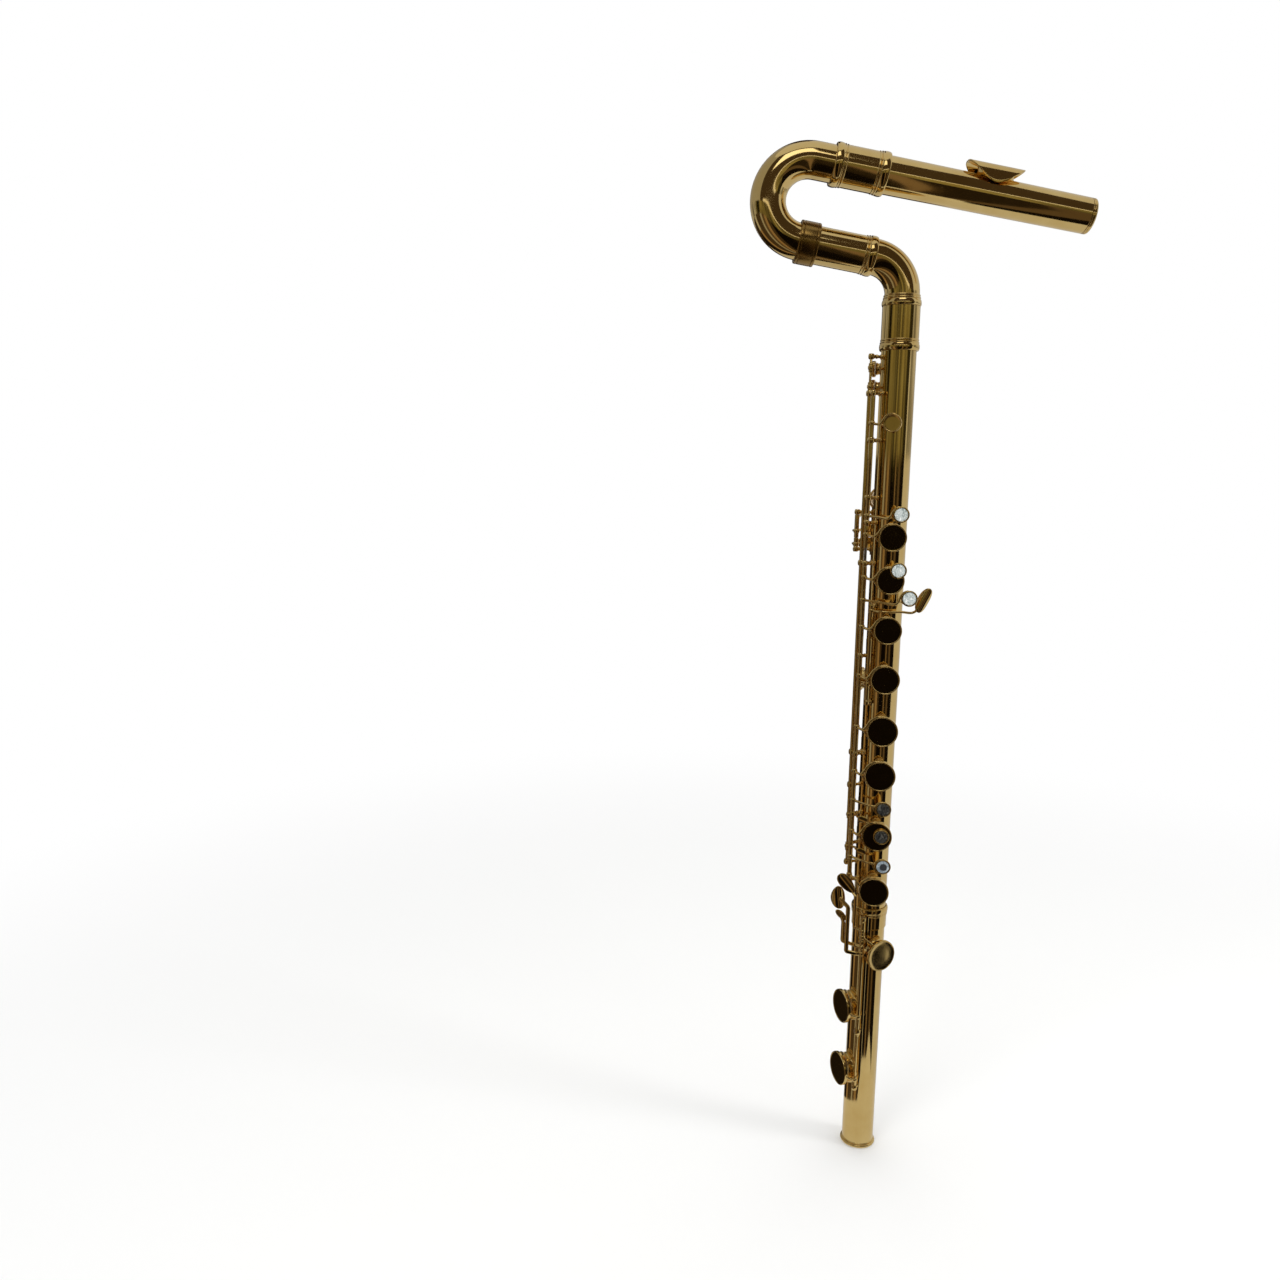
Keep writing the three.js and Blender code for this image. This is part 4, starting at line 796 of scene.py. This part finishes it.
# A tube on a hinge with its bore, slightly rounded at the ends.
def hingeTube(hinge, low, high, outer=2.2, bore=1.65):
    x, y = hinges[hinge]
    corners = [(outer, low, 0.25), (outer, high, 0.25), (bore, high), (bore, low)]
    return shifted(turned(rounded(corners, closed=True), 40, wrap=True), x, y)


def makePosts(p):
    trillEdge, mainEdge, sharpEdge = -82, -56, -45
    ribs = [strap(trillEdge, mainEdge, p["main"][-1] - 5, p["trill"][0] + 5)]
    ribs += [strap(mainEdge - 2, sharpEdge, z - 3.5, z + 3.5) for z in p["sharp"]]
    kinds = (
        ("main", "main", 1.4, None), ("longGuides", "main", 2.2, 3.4), ("trillGuides", "trill", 1.95, 3.2),
        ("trill", "trill", 1.2, None), ("sharp", "sharp", 1.4, None),
    )  # heights, rod, bore and radius
    for group, hinge, bore, radius in kinds:
        for z in p[group]:
            ribs += post(hinge, z, bore, radius)
    ribs.append(hingeTube("main", *postSleeve, bore=1.7))
    goldPiece("mainRibPosts", ribs, "body", ["main_rib_posts"])
    angle = rodPolar("thumb")[0]
    low, high = p["thumb"]
    ribs = [strap(angle - 9, angle + 9, low - 5, high + 5)]
    ribs += post("thumb", low, 1.4) + post("thumb", high, 1.4)
    goldPiece("thumbRibPosts", ribs, "body", ["thumb_rib_posts"])
    top, middle, guide, bottom = p["foot"]
    edges, step, raised = (-42, -13), 236.9, 1.1
    ribs = [strap(*edges, bottom - 5, step), strap(*edges, step - 5, step, 0, 2.3),
            strap(*edges, step - 5, top + 2, raised)]
    ribs += post("foot", top, 1.4, None, raised) + post("foot", middle, 1.2)
    ribs += post("foot", guide, 1.95, 3.2) + post("foot", bottom, 1.2)
    goldPiece("footRibPosts", ribs, "foot", ["foot_rib_posts"])
    springs = [needle("main", z) for z in p["main"][1:]] + [needle("thumb", low)]
    finishPiece("bodySprings", springs, "body", steel)
    finishPiece("footSprings", [needle("foot", guide, -16.0)], "foot", steel)


makePosts(posts)


# A steel with domed ends, and the boxes that cut their slots.
def steelRod(hinge, low, high, radius=1.4):
    x, y = hinges[hinge]
    corners = [(axisPoint, low), (radius, low + 0.1, 0.4), (radius, high - 0.1, 0.4), (axisPoint, high)]
    slots = [shifted(box((2 * radius + 1, 0.4, 0.9)), x, y, z) for z in (low, high)]
    return shifted(turned(rounded(corners), 32), x, y), slots


# A node's name in camel case after the kind of piece.
def pieceName(node, kind):
    return kind + "".join(word.capitalize() for word in node.split("_"))


def makeSteels(p):
    past, middle = 2.5, p["main"][2]
    rods = {
        "main_steel_upper": ("main", middle + 0.3, p["main"][0] + past, "body"),
        "main_steel_lower": ("main", p["main"][-1] - past, middle - 0.3, "body"),
        "g_sharp_steel": ("sharp", p["sharp"][0] - past, p["sharp"][1] + past, "body"),
        "thumb_steel": ("thumb", p["thumb"][0] - past, p["thumb"][1] + past, "body"),
        "e_flat_steel": ("foot", p["foot"][1] + 2.65, p["foot"][0] + past, "foot"),
    }
    for node, (hinge, low, high, body) in rods.items():
        rod, slots = steelRod(hinge, low, high)
        finishPiece(pieceName(node, "rod"), [rod], body, steel, [node], cutters=slots)


makeSteels(posts)
print("stage: posts and steels made")


# Cup of a key: a flat face inside a thin raised rim, a rounded wall, and a hollow for the pad.
def cupPart(hole):
    height, angle, r = holes[hole]
    low, top, wall = cupHeights["low"], cupHeights["top"], cupHeights["wall"]
    ceiling, inner = top - wall, r - wall
    corners = [
        (axisPoint, ceiling), (inner, ceiling, 0.3), (inner, low, 0.2), (r, low, 0.25), (r, top - 0.75, 0.3),
        (r - 0.35, top, 0.45), (r - 1.0, top, 0.3), (r - 1.25, top - 0.42, 0.2), (r * 0.6, top - 0.5, 2),
        (axisPoint, top - 0.46),
    ]
    return faceOut(turned(rounded(corners, steps=5), 128), angle, 0, height)


# The pad is a soft disc with a shallow ring where it meets the chimney.
def padPart(hole):
    height, angle, cup = holes[hole]
    low, high, r = cupHeights["padLow"], cupHeights["padHigh"], cup - 1.15
    corners = [
        (axisPoint, low + 0.1), (r - 3.2, low, 0.8), (r - 2.2, low + 0.22, 0.5), (r - 1.2, low, 0.6),
        (r, low + 0.5, 0.9), (r, high - 0.3, 0.4), (r - 0.3, high, 0.2), (axisPoint, high),
    ]
    return faceOut(turned(rounded(corners), 72), angle, 0, height)


# A rod without a bore, for the keys whose tube turns as one with what is inside it.
def solidRod(hinge, low, high, radius):
    x, y = hinges[hinge]
    corners = [(axisPoint, low), (radius, low, 0.3), (radius, high, 0.3), (axisPoint, high)]
    return shifted(turned(rounded(corners), 40), x, y)


# The small collar where an arm is brazed to its tube.
def armCollar(hinge, height, outer=2.2):
    x, y = hinges[hinge]
    z = np.linspace(-1.9, 1.9, 15)
    outside = np.stack([outer + 0.05 + 0.65 * np.sqrt(1 - (z / 1.9) ** 2), z], -1)
    inside = [[outer - 0.4, 1.9], [outer - 0.4, -1.9]]
    return shifted(turned(np.concatenate([outside, inside]), 40, wrap=True), x, y, height)


# A forked arm from a hinge tube to the rim of a disc. It dips a little on its way. The upper branch
# follows the rim over its top, and the lower one drops under it, up to the given turns round the disc.
def forkedArm(hinge, armHeight, centre, radius, angle, over=108, under=-24, dip=1.0):
    x, y = hinges[hinge]
    side = sideways(angle)
    toHinge = np.array([x, y, centre[2]]) - centre
    sign = math.copysign(1, float(toHinge @ side))
    def rim(turn, reach):
        t = math.radians(turn)
        return centre + side * sign * reach * math.cos(t) + up * reach * math.sin(t)
    start = np.array([x, y, armHeight])
    fork = rim(0, radius + 3.4) * np.array([1, 1, 0]) + up * (armHeight - dip)
    outer, ends = radius + armRadius * 0.55, radius - 0.2
    climb = [rim(turn, outer + (ends - outer) * turn / over) for turn in np.arange(24, over + 1, 12)]
    upper = [start, (start + fork) / 2 - up * dip * 0.4, fork, *climb]
    lower = [start * 0.3 + fork * 0.7, fork, rim(under * 0.5, outer), rim(under, ends)]
    return [armCollar(hinge, armHeight), bar(upper, armRadius, steps=72, widths=(1.1, 1, 1, 0.95, 0.8, 0.5)),
            bar(lower, armRadius * 0.7, widths=(0.6, 1, 0.6))]


# The forked arm of a key's own cup.
def cupArm(hinge, armHeight, hole):
    height, angle, radius = holes[hole]
    centre = outward(angle) * 22.2 + up * height
    return forkedArm(hinge, armHeight, centre, radius, angle)


# Pearl holders face the front: the place of a holder's back, and its pearl
touches = {
    "c_sharp": (5, -24.6, 647.5, "pearlWhite"), "a": (5.5, -23.35, 596, "pearlWhite"),
    "g": (16.5, -24.6, 570.5, "pearlWhite"), "f": (3.4, -24.6, 366.5, "pearlDark"),
    "e": (3, -23.35, 338.5, "pearlDark"), "d": (5.8, -24.6, 309, "pearlEye"),
}


# Local +Z points to the front, and Y runs up.
def atFront(part, place):
    return moved(part, lambda p: np.stack([p[:, 0], -p[:, 2], p[:, 1]], -1) + place)


# A shallow dish with a rim round the pearl.
def holderPart(place):
    corners = [
        (axisPoint, 0), (7.2, 0, 0.5), (7.5, 0.8, 0.3), (7.5, 2.2, 0.4), (7.15, 2.6, 0.4), (6.35, 2.7, 0.2),
        (6.1, 2.55, 0.1), (6.15, 2.4, 0.05), (6.6, 2.2, 0.1), (6.6, 1, 0.1), (axisPoint, 1),
    ]
    return atFront(turned(rounded(corners), 96), place)


# The pearl's dome: its radius follows a cosine and its height a sine, from the edge to the middle.
def pearlPart(place):
    dome = np.linspace(0, np.pi / 2, 14)
    radius = np.maximum(6.3 * np.cos(dome) ** 0.9, axisPoint)
    height = 1.75 + 1.5 * np.sin(dome) ** 1.1
    profile = np.concatenate([[[axisPoint, 1.3], [6.1, 1.3], [6.3, 1.5]], np.stack([radius, height], -1)])
    return atFront(turned(profile, 96), place)


# A key's hinge tube stands a little short of its two posts.
def span(low, high):
    return low + 2.8, high - 2.8


# Finger keys of the main rods: node stem, hole, tube, arm height and touch arm height
rowRest = -7
rowKeys = [
    ("c_sharp", "cSharp", span(639, 757), 730, 645.5), ("b_flat", "bFlat", (615.8, 636.2), 628, None),
    ("a", "a", (576.2, 598.2), 588, None), ("g", "g", (515.8, 575.9), 541, 566.5),
    ("g_lower", "gLower", (484.2, 510.2), 494, None), ("f_sharp", "fSharp", (419.8, 483.9), 444, None),
    ("f", "f", span(357, 417), 400, 370.5), ("e", "e", (329.8, 351.4), 339.5, None),
    ("d", "d", span(289, 327), 294.5, 313),
]


# A key with its pad and pearl, all turned to rest about their hinge.
def finishKey(node, hinge, rest, parts, hole=None, touch=None):
    def atRest(part):
        return turnedAbout(part, hinges[hinge], rest)
    suffix = "_lever" if node == "thumb_flat" else "_key"
    goldPiece(pieceName(node, "key"), [atRest(p) for p in parts], node, [node + suffix])
    if hole:
        pad = [atRest(padPart(hole))]
        finishPiece(pieceName(node, "pad"), pad, node, padLeather, [node + "_pad"])
    if touch:
        pearl, kind = [atRest(pearlPart(np.array(touch[:3])))], touch[3]
        name = pieceName(node, "pearl")
        finishPiece(name, pearl, node, pearls[kind], [node + "_pearl"])


def makeRowKeys():
    for node, hole, (low, high), armHeight, touchHeight in rowKeys:
        parts = [hingeTube("main", low, high), cupPart(hole), *cupArm("main", armHeight, hole)]
        touch = touches.get(node)
        if touch:
            place = np.array(touch[:3])
            parts.append(holderPart(place))
            if touchHeight:
                centre = place - np.array([0, 1.3, 0])
                parts += forkedArm("main", touchHeight, centre, 7.5, 0, over=84, under=-44)
        finishKey(node, "main", rowRest, parts, hole, touch)


makeRowKeys()
print("stage: finger keys made")


# A finger leaf: an oval outline carried from its middle, round its edge, to its back, and bent across
# its length on a circle of the bow's radius: the rise is the root of the radius squared less the place
# across squared. A positive point narrows the far end, and a share of the corner makes it squarer.
def fingerPlate(centre, length, width, tilt, thickness=1.6, bow=9.0, point=0.0, corner=0.0):
    turn = np.linspace(0, 2 * np.pi, 96, endpoint=False)
    power, taper = 1 - corner, 1 - point * np.cos(turn)
    across, along = np.sin(turn), np.cos(turn)
    outline = np.stack([length / 2 * np.sign(along) * np.abs(along) ** power,
                        width / 2 * np.sign(across) * np.abs(across) ** power * taper], -1)
    t = thickness / 2
    face = [(share, t) for share in np.linspace(0.02, 0.9, 10)]
    edge = [(0.96, t - 0.08), (0.99, t - 0.3), (1, 0), (0.99, 0.3 - t), (0.96, 0.08 - t)]
    back = [(share, -t) for share in np.linspace(0.9, 0.02, 10)]
    levels = face + edge + back
    grid = np.concatenate([lifted(outline * share, (z,)) for share, z in levels])[::-1]
    c, s = math.cos(math.radians(tilt)), math.sin(math.radians(tilt))
    def change(p):
        rise = p[:, 2] + np.sqrt(bow**2 - p[:, 1] ** 2) - bow
        x, y = p[:, 0] * c - p[:, 1] * s, p[:, 0] * s + p[:, 1] * c
        return np.stack([x, -rise, y], -1) + np.array(centre)
    return moved(shell(grid), change)


# A point inside the rim of a cup, at a turn round the cup.
def cupEdge(hole, turn):
    height, angle, radius = holes[hole]
    t = math.radians(turn)
    reach = radius - 0.5
    return outward(angle) * 21.6 + sideways(angle) * reach * math.cos(t) + up * (height + reach * math.sin(t))


# The G sharp lever reaches round the front to its leaf, and its arm round the back to the cup.
def makeSharpKey():
    x, y = hinges["sharp"]
    height, depth, reach, middle = 556.5, -20.5, 22, (30.6, 567.8)
    lever = bar([
        (x, y, height), (x / 2, depth, height), (reach / 2, depth, height), (reach, depth, height),
        (middle[0] - 3.4, depth, height + 4.5), (middle[0], depth, middle[1]),
    ], armRadius, steps=72)
    hole, armX = "gSharp", -20.4
    armZ = holes[hole][0]
    arm = bar([(x, y, armZ), (armX, y / 2, armZ), (armX - 0.6, 0, armZ), cupEdge(hole, 0)], armRadius)
    leaf = fingerPlate((middle[0], depth - 1, middle[1]), 25, 11, 64.5, bow=6.6, corner=0.12)
    collars = [armCollar("sharp", height), armCollar("sharp", armZ)]
    parts = [hingeTube("sharp", *span(468, 561)), lever, leaf, cupPart(hole), arm, *collars]
    finishKey("g_sharp", "sharp", 0, parts, hole)


def makeTrillKeys():
    x, y = hinges["trill"]
    lane, plate = (-19.5, -9.5), (-16.3, -21.5)
    for node, hole, lever in (("trill_one", "trillOne", 353.7), ("trill_two", "trillTwo", 321)):
        height = holes[hole][0]
        reach = bar([(x, y, lever), (*lane, lever), (lane[0], -13, lever), (*plate, lever)], armRadius)
        arm = bar([(x, y, height), cupEdge(hole, 0)], armRadius)
        parts = [reach, arm, cupPart(hole), fingerPlate((*plate, lever), 10, 7, -20)]
        if node == "trill_one":
            parts += [hingeTube("trill", lever - 4, height + 4, 1.95, 1.5)]
        else:
            parts += [solidRod("trill", 302.5, 792.5, 1.2), solidRod("trill", lever - 4, lever + 4, 1.95),
                      solidRod("trill", height - 4, height + 4, 1.95)]
        parts += [armCollar("trill", lever, 1.95), armCollar("trill", height, 1.95)]
        finishKey(node, "trill", 0, parts, hole)


# A thumb lever's arm behind the tube, and its leaf.
def thumbPaddle(x, z, depth=27):
    hx, hy = hinges["thumb"]
    reach = bar([(hx, hy, z), (hx, (hy + depth) / 2, z), ((hx + x) / 2, depth, z), (x, depth, z)], armRadius)
    return [reach, armCollar("thumb", z), fingerPlate((x, depth, z), 20, 11, 0)]


def makeThumbKeys():
    low, high = span(613, 648)
    rest, heights = 6, (630, 617.5)
    split = sum(heights) / 2
    hx, hy = hinges["thumb"]
    rim = cupEdge("thumb", 0)
    rim[2] = holes["thumb"][0] - 2
    arm = bar([(hx, hy, high - 2.5), ((hx + rim[0]) / 2, 20, high), rim], armRadius)
    parts = [hingeTube("thumb", split + 0.15, high), *thumbPaddle(-10, heights[0]), cupPart("thumb"), arm]
    finishKey("thumb", "thumb", rest, parts, "thumb")
    parts = [hingeTube("thumb", low, split - 0.15), *thumbPaddle(-13, heights[1])]
    finishKey("thumb_flat", "thumb", rest, parts)


# Each lever leaves the foot's rod at its height, runs up its lane and ends in its leaf at the touch
footLevers = {
    "low_c": {
        "height": 221, "bend": (-16.5, -12), "lane": (-25.6, -6.5), "laneTop": 243, "half": 2.1,
        "touch": (-28.4, -7, 250.4), "leaf": {"length": 15, "width": 6.5, "tilt": 135, "bow": 4},
    },
    "low_c_sharp": {
        "height": 214.5, "bend": (-15.7, -19.2), "lane": (-24.6, -15.8), "laneTop": 262, "half": 2.1,
        "touch": (-32.2, -9.4, 270),
        "leaf": {"length": 24, "width": 14.5, "tilt": 97, "bow": 8.5, "point": 0.12},
    },
    "e_flat": {
        "height": 238, "bend": None, "lane": (-17.6, -13.8), "laneTop": 272, "half": 1.5,
        "touch": (-28.4, -21.2, 288),
        "leaf": {"length": 24.5, "width": 12, "tilt": 130, "bow": 14, "point": -0.22},
    },
}


# Two points before and two after each corner keep the runs between tight corners straight.
def cornered(points, reach):
    p = np.array(points, float)
    before, after = unit(p[:-2] - p[1:-1]) * reach, unit(p[2:] - p[1:-1]) * reach
    corners = np.stack([p[1:-1] + before * 2, p[1:-1] + before, p[1:-1] + after, p[1:-1] + after * 2], 1)
    return np.concatenate([p[:1], corners.reshape(-1, 3), p[-1:]])


# A flat lever, its leaf and the collar at its rod.
def footLever(s):
    height, lane = s["height"], s["lane"]
    path = [(*hinges["foot"], height)]
    if s["bend"]:
        path.append((*s["bend"], height))
    path += [(*lane, height + 1.5), (*lane, s["laneTop"]), s["touch"]]
    lever = bar(cornered(path, 1.0), s["half"], steps=120, flat=0.48)
    return [lever, fingerPlate(s["touch"], **s["leaf"]), armCollar("foot", height, 1.95)]


# The arm of a foot key leaves its rod a little under the hole and bows out on its way to the cup.
def footArm(hole):
    height, angle, radius = holes[hole]
    start = np.array([*hinges["foot"], height - 4])
    rim = cupEdge(hole, 0)
    middle = (start + rim) / 2 + outward(angle / 2) * 2
    return [bar([start, middle, rim], armRadius), armCollar("foot", height - 4, 1.95)]


def makeFootKeys(levers):
    rest = 8
    parts = [hingeTube("foot", 126, 216, 1.95, 1.5), *footArm("lowCSharp"), cupPart("lowCSharp"),
             *footLever(levers["low_c_sharp"])]
    finishKey("low_c_sharp", "foot", rest, parts, "lowCSharp")
    rods = [solidRod("foot", 67.5, 228.5, 1.2), solidRod("foot", 72.8, 82.5, 1.95),
            solidRod("foot", 216.3, 223.2, 1.95)]
    parts = [*rods, *footArm("lowC"), cupPart("lowC"), *footLever(levers["low_c"])]
    finishKey("low_c", "foot", rest, parts, "lowC")
    height = 232
    arm = bar([(*hinges["foot"], height), cupEdge("eFlat", 130)], armRadius)
    parts = [hingeTube("foot", *span(226, 250)), *footLever(levers["e_flat"]), cupPart("eFlat"), arm,
             armCollar("foot", height)]
    finishKey("e_flat", "foot", 0, parts, "eFlat")


makeSharpKey()
makeTrillKeys()
makeThumbKeys()
makeFootKeys(footLevers)
print("stage: side, thumb and foot keys made")

# Studio: a pale floor, soft lamps, and a round screen of pale and dark cards that only reflections
# see. A card is the angle where it starts, counted from the front towards the right, and its
# brightness. Levels, heights and radii are in metres.
leftCards = [(-180, 0.035), (-172, 0.34), (-60, 0.055)]
rightCards = [(64, 0.56), (168, 0.035)]
nearCards = [(-119, 0.30), (-105, 0.06), (-73, 0.32), (-62, 0.10), (-50, 0.28), (-38, 0.05), (-26, 0.004),
             (-2, 0.02), (4, 0.20), (8.5, 0.02), (24, 0.10), (36, 0.006)]
studioSettings = {
    "floor": 6.0, "floorDepth": (-20.0, -0.2), "floorColour": (0.82, 0.82, 0.81), "world": 0.75,
    "fade": (0.35, 1.6), "screen": 2.2, "dim": (1.0, 0.70, 0.42), "white": (1, 1, 1), "warmUnder": 0.3,
    "ground": [(-180, 0.5), (-152, 0.012), *nearCards, (62.2, 0.56)],
    "low": [(-180, 0.035), (-119, 0.42), *nearCards[1:], *rightCards],
    "streaks": [
        (-180, 0.035), (-165, 0.42), (-94, 0.10), (-84, 0.02), (-68, 0.26), (-48, 0.16), (-30, 0.12),
        (-12, 0.28), (2, 0.16), (10, 0.26), (24, 0.20), (36, 0.28), (46, 0.03), (66, 0.56), (168, 0.035),
    ],
    "line": [*leftCards, (-42, 0.95), (34, 0.055), *rightCards],
    "high": [*leftCards, *rightCards],
    "window": [*leftCards, (-30, 1.5), (14, 0.055), *rightCards],
    "tints": {"streaks": (1.0, 0.88, 0.40)}, "blotches": {"streaks": 2.5},
    "levels": [
        ("low", 0, 0.72), ("streaks", 0.72, 1.27), ("line", 1.27, 1.36), ("high", 1.36, 2.4),
        ("window", 2.4, 4.2), ("high", 4.2, 4.9),
    ],
    "ceiling": 0.58, "near": 0.6,
    "nearEdge": [
        (-180, 0.08), (-26, 0.10), (-10, 0.19), (20, 0.19), (34, 0.25), (50, 0.20), (64, 0.15),
        (180, 0.08),
    ],
    "lamps": [  # place, size, power
        ((-1.1, -1.3, 1.6), (0.8, 1.2), 12), ((1.5, -0.5, 1.3), (0.4, 1.4), 10),
        ((0.1, 0.5, 2.4), (1.6, 1.6), 16),
    ],
}


# A glow whose level is looked up by the angle round the flute: the arc tangent of X over -Y, as a
# share of a whole turn. Dark levels turn warmer, by the dim colour's shares.
def screenFinish(name, cards, dim, blotch=0):
    f = Finish(name)
    x, y = (f.node("ShaderNodeSeparateXYZ", None, {"Vector": f.place}, axis) for axis in "XY")
    turn = f.maths("ARCTAN2", x, 0 - y) * (0.5 / math.pi) + 0.5
    warm = studioSettings["warmUnder"]
    stops = [(angle / 360 + 0.5, tuple(level * (1 if level > warm else share) for share in dim))
             for angle, level in cards]
    settings = {"interpolation": "CONSTANT", "stops": stops}
    colour = f.node("ShaderNodeValToRGB", settings, {"Fac": turn}, "Color")
    if blotch:
        shade = f.ramp(f.noise(blotch, 5, (1, 1, 0.4)), (0.40, (0.35, 0.35, 0.35)), (0.52, (1.0, 1.0, 1.0)))
        colour = f.mixed(1.0, colour, shade, "MULTIPLY")
    return f.end(f.glow(colour))


# A card that only glossy rays see.
def hangCard(name, part, material):
    card = buildObject(name, [part])
    card.data.materials.append(material)
    card.visible_camera = card.visible_diffuse = card.visible_shadow = False
    card.visible_transmission = card.visible_volume_scatter = False


screenSides = 180


# A band between two radii and two heights round the flute; its middle is closed when not wrapped.
def screenBand(inner, outer, low, high, wrap=True):
    turns = np.linspace(-math.pi, math.pi, screenSides, endpoint=False)
    circle = np.stack([np.sin(turns), -np.cos(turns)], -1)
    corners = ((inner, low), (outer, low), (outer, high), (inner, high))
    rows = [lifted(circle * np.reshape(radius, (-1, 1)) / mm, (z / mm,)) for radius, z in corners]
    return shell(np.concatenate(rows), wrap)


def makeScreen(s):
    radius, thin, middle, gap = s["screen"], 0.01, 0.0001, 0.0002
    for number, (name, low, high) in enumerate(s["levels"]):
        tint, blotch = s["tints"].get(name, s["dim"]), s["blotches"].get(name, 0)
        glow = screenFinish(f"studioLevel{number}", s[name], tint, blotch)
        hangCard(f"studioScreen{number}", screenBand(radius, radius + thin, low, high), glow)
    glow = screenFinish("studioCeiling", [(-180, s["ceiling"])], s["white"])
    hangCard("studioCeiling", screenBand(middle, radius, high, high + thin, False), glow)
    edge = np.interp(np.linspace(-180, 180, screenSides, endpoint=False), *zip(*s["nearEdge"]))
    under, top = -0.00015, -0.00005
    glow = screenFinish("studioGround", s["ground"], s["dim"])
    hangCard("studioGround", screenBand(edge, radius, under, top), glow)
    glow = screenFinish("studioNear", [(-180, s["near"])], s["white"])
    hangCard("studioNear", screenBand(middle, edge - gap, under, top, False), glow)


def makeWorld(s):
    world = bpy.data.worlds.new("studioWorld")
    bpy.context.scene.world = world
    f = Finish("studioWorld", world)
    values = {"Value": f.seen(), "To Min": s["world"], "To Max": 1.0}
    level = f.node("ShaderNodeMapRange", None, values)
    shader = f.node("ShaderNodeBackground", None, {"Color": (1, 1, 1, 1), "Strength": level})
    f.end(shader, "World")


# The floor is matt near the flute and for all other light, and glows white further off.
def makeFloor(s):
    f = Finish("studioFloor")
    away = f.node("ShaderNodeVectorMath", {"operation": "LENGTH"}, {0: f.place}, "Value")
    near, far = s["fade"]
    values = {"Value": away, "From Min": near, "From Max": far}
    fade = f.node("ShaderNodeMapRange", {"interpolation_type": "SMOOTHSTEP"}, values)
    values = {"Base Color": (*s["floorColour"], 1), "Roughness": 0.9, "Specular IOR Level": 0.1}
    matt = f.node("ShaderNodeBsdfPrincipled", None, values)
    shaders = {0: fade * f.seen(), 1: matt, 2: f.glow((1, 1, 1, 1))}
    half = s["floor"] / mm
    floor = buildObject("studioFloor", [shell(lifted(rectangle(half, half), s["floorDepth"]))])
    floor.data.materials.append(f.end(f.node("ShaderNodeMixShader", None, shaders)))


def makeLamps(s):
    for number, (place, size, power) in enumerate(s["lamps"]):
        light = bpy.data.lights.new(f"softLamp{number}", "AREA")
        light.shape, light.size, light.size_y, light.energy = "RECTANGLE", *size, power
        lamp = bpy.data.objects.new(light.name, light)
        bpy.context.scene.collection.objects.link(lamp)
        lamp.location, lamp.visible_glossy = place, False
        direction = Matrix.Translation((0, 0, 0.5)).translation - lamp.location
        lamp.rotation_mode = "QUATERNION"
        lamp.rotation_quaternion = direction.to_track_quat("-Z", "Y")


makeWorld(studioSettings)
makeFloor(studioSettings)
makeScreen(studioSettings)
makeLamps(studioSettings)
bpy.context.scene.view_settings.view_transform = "Standard"
print("stage: studio made")
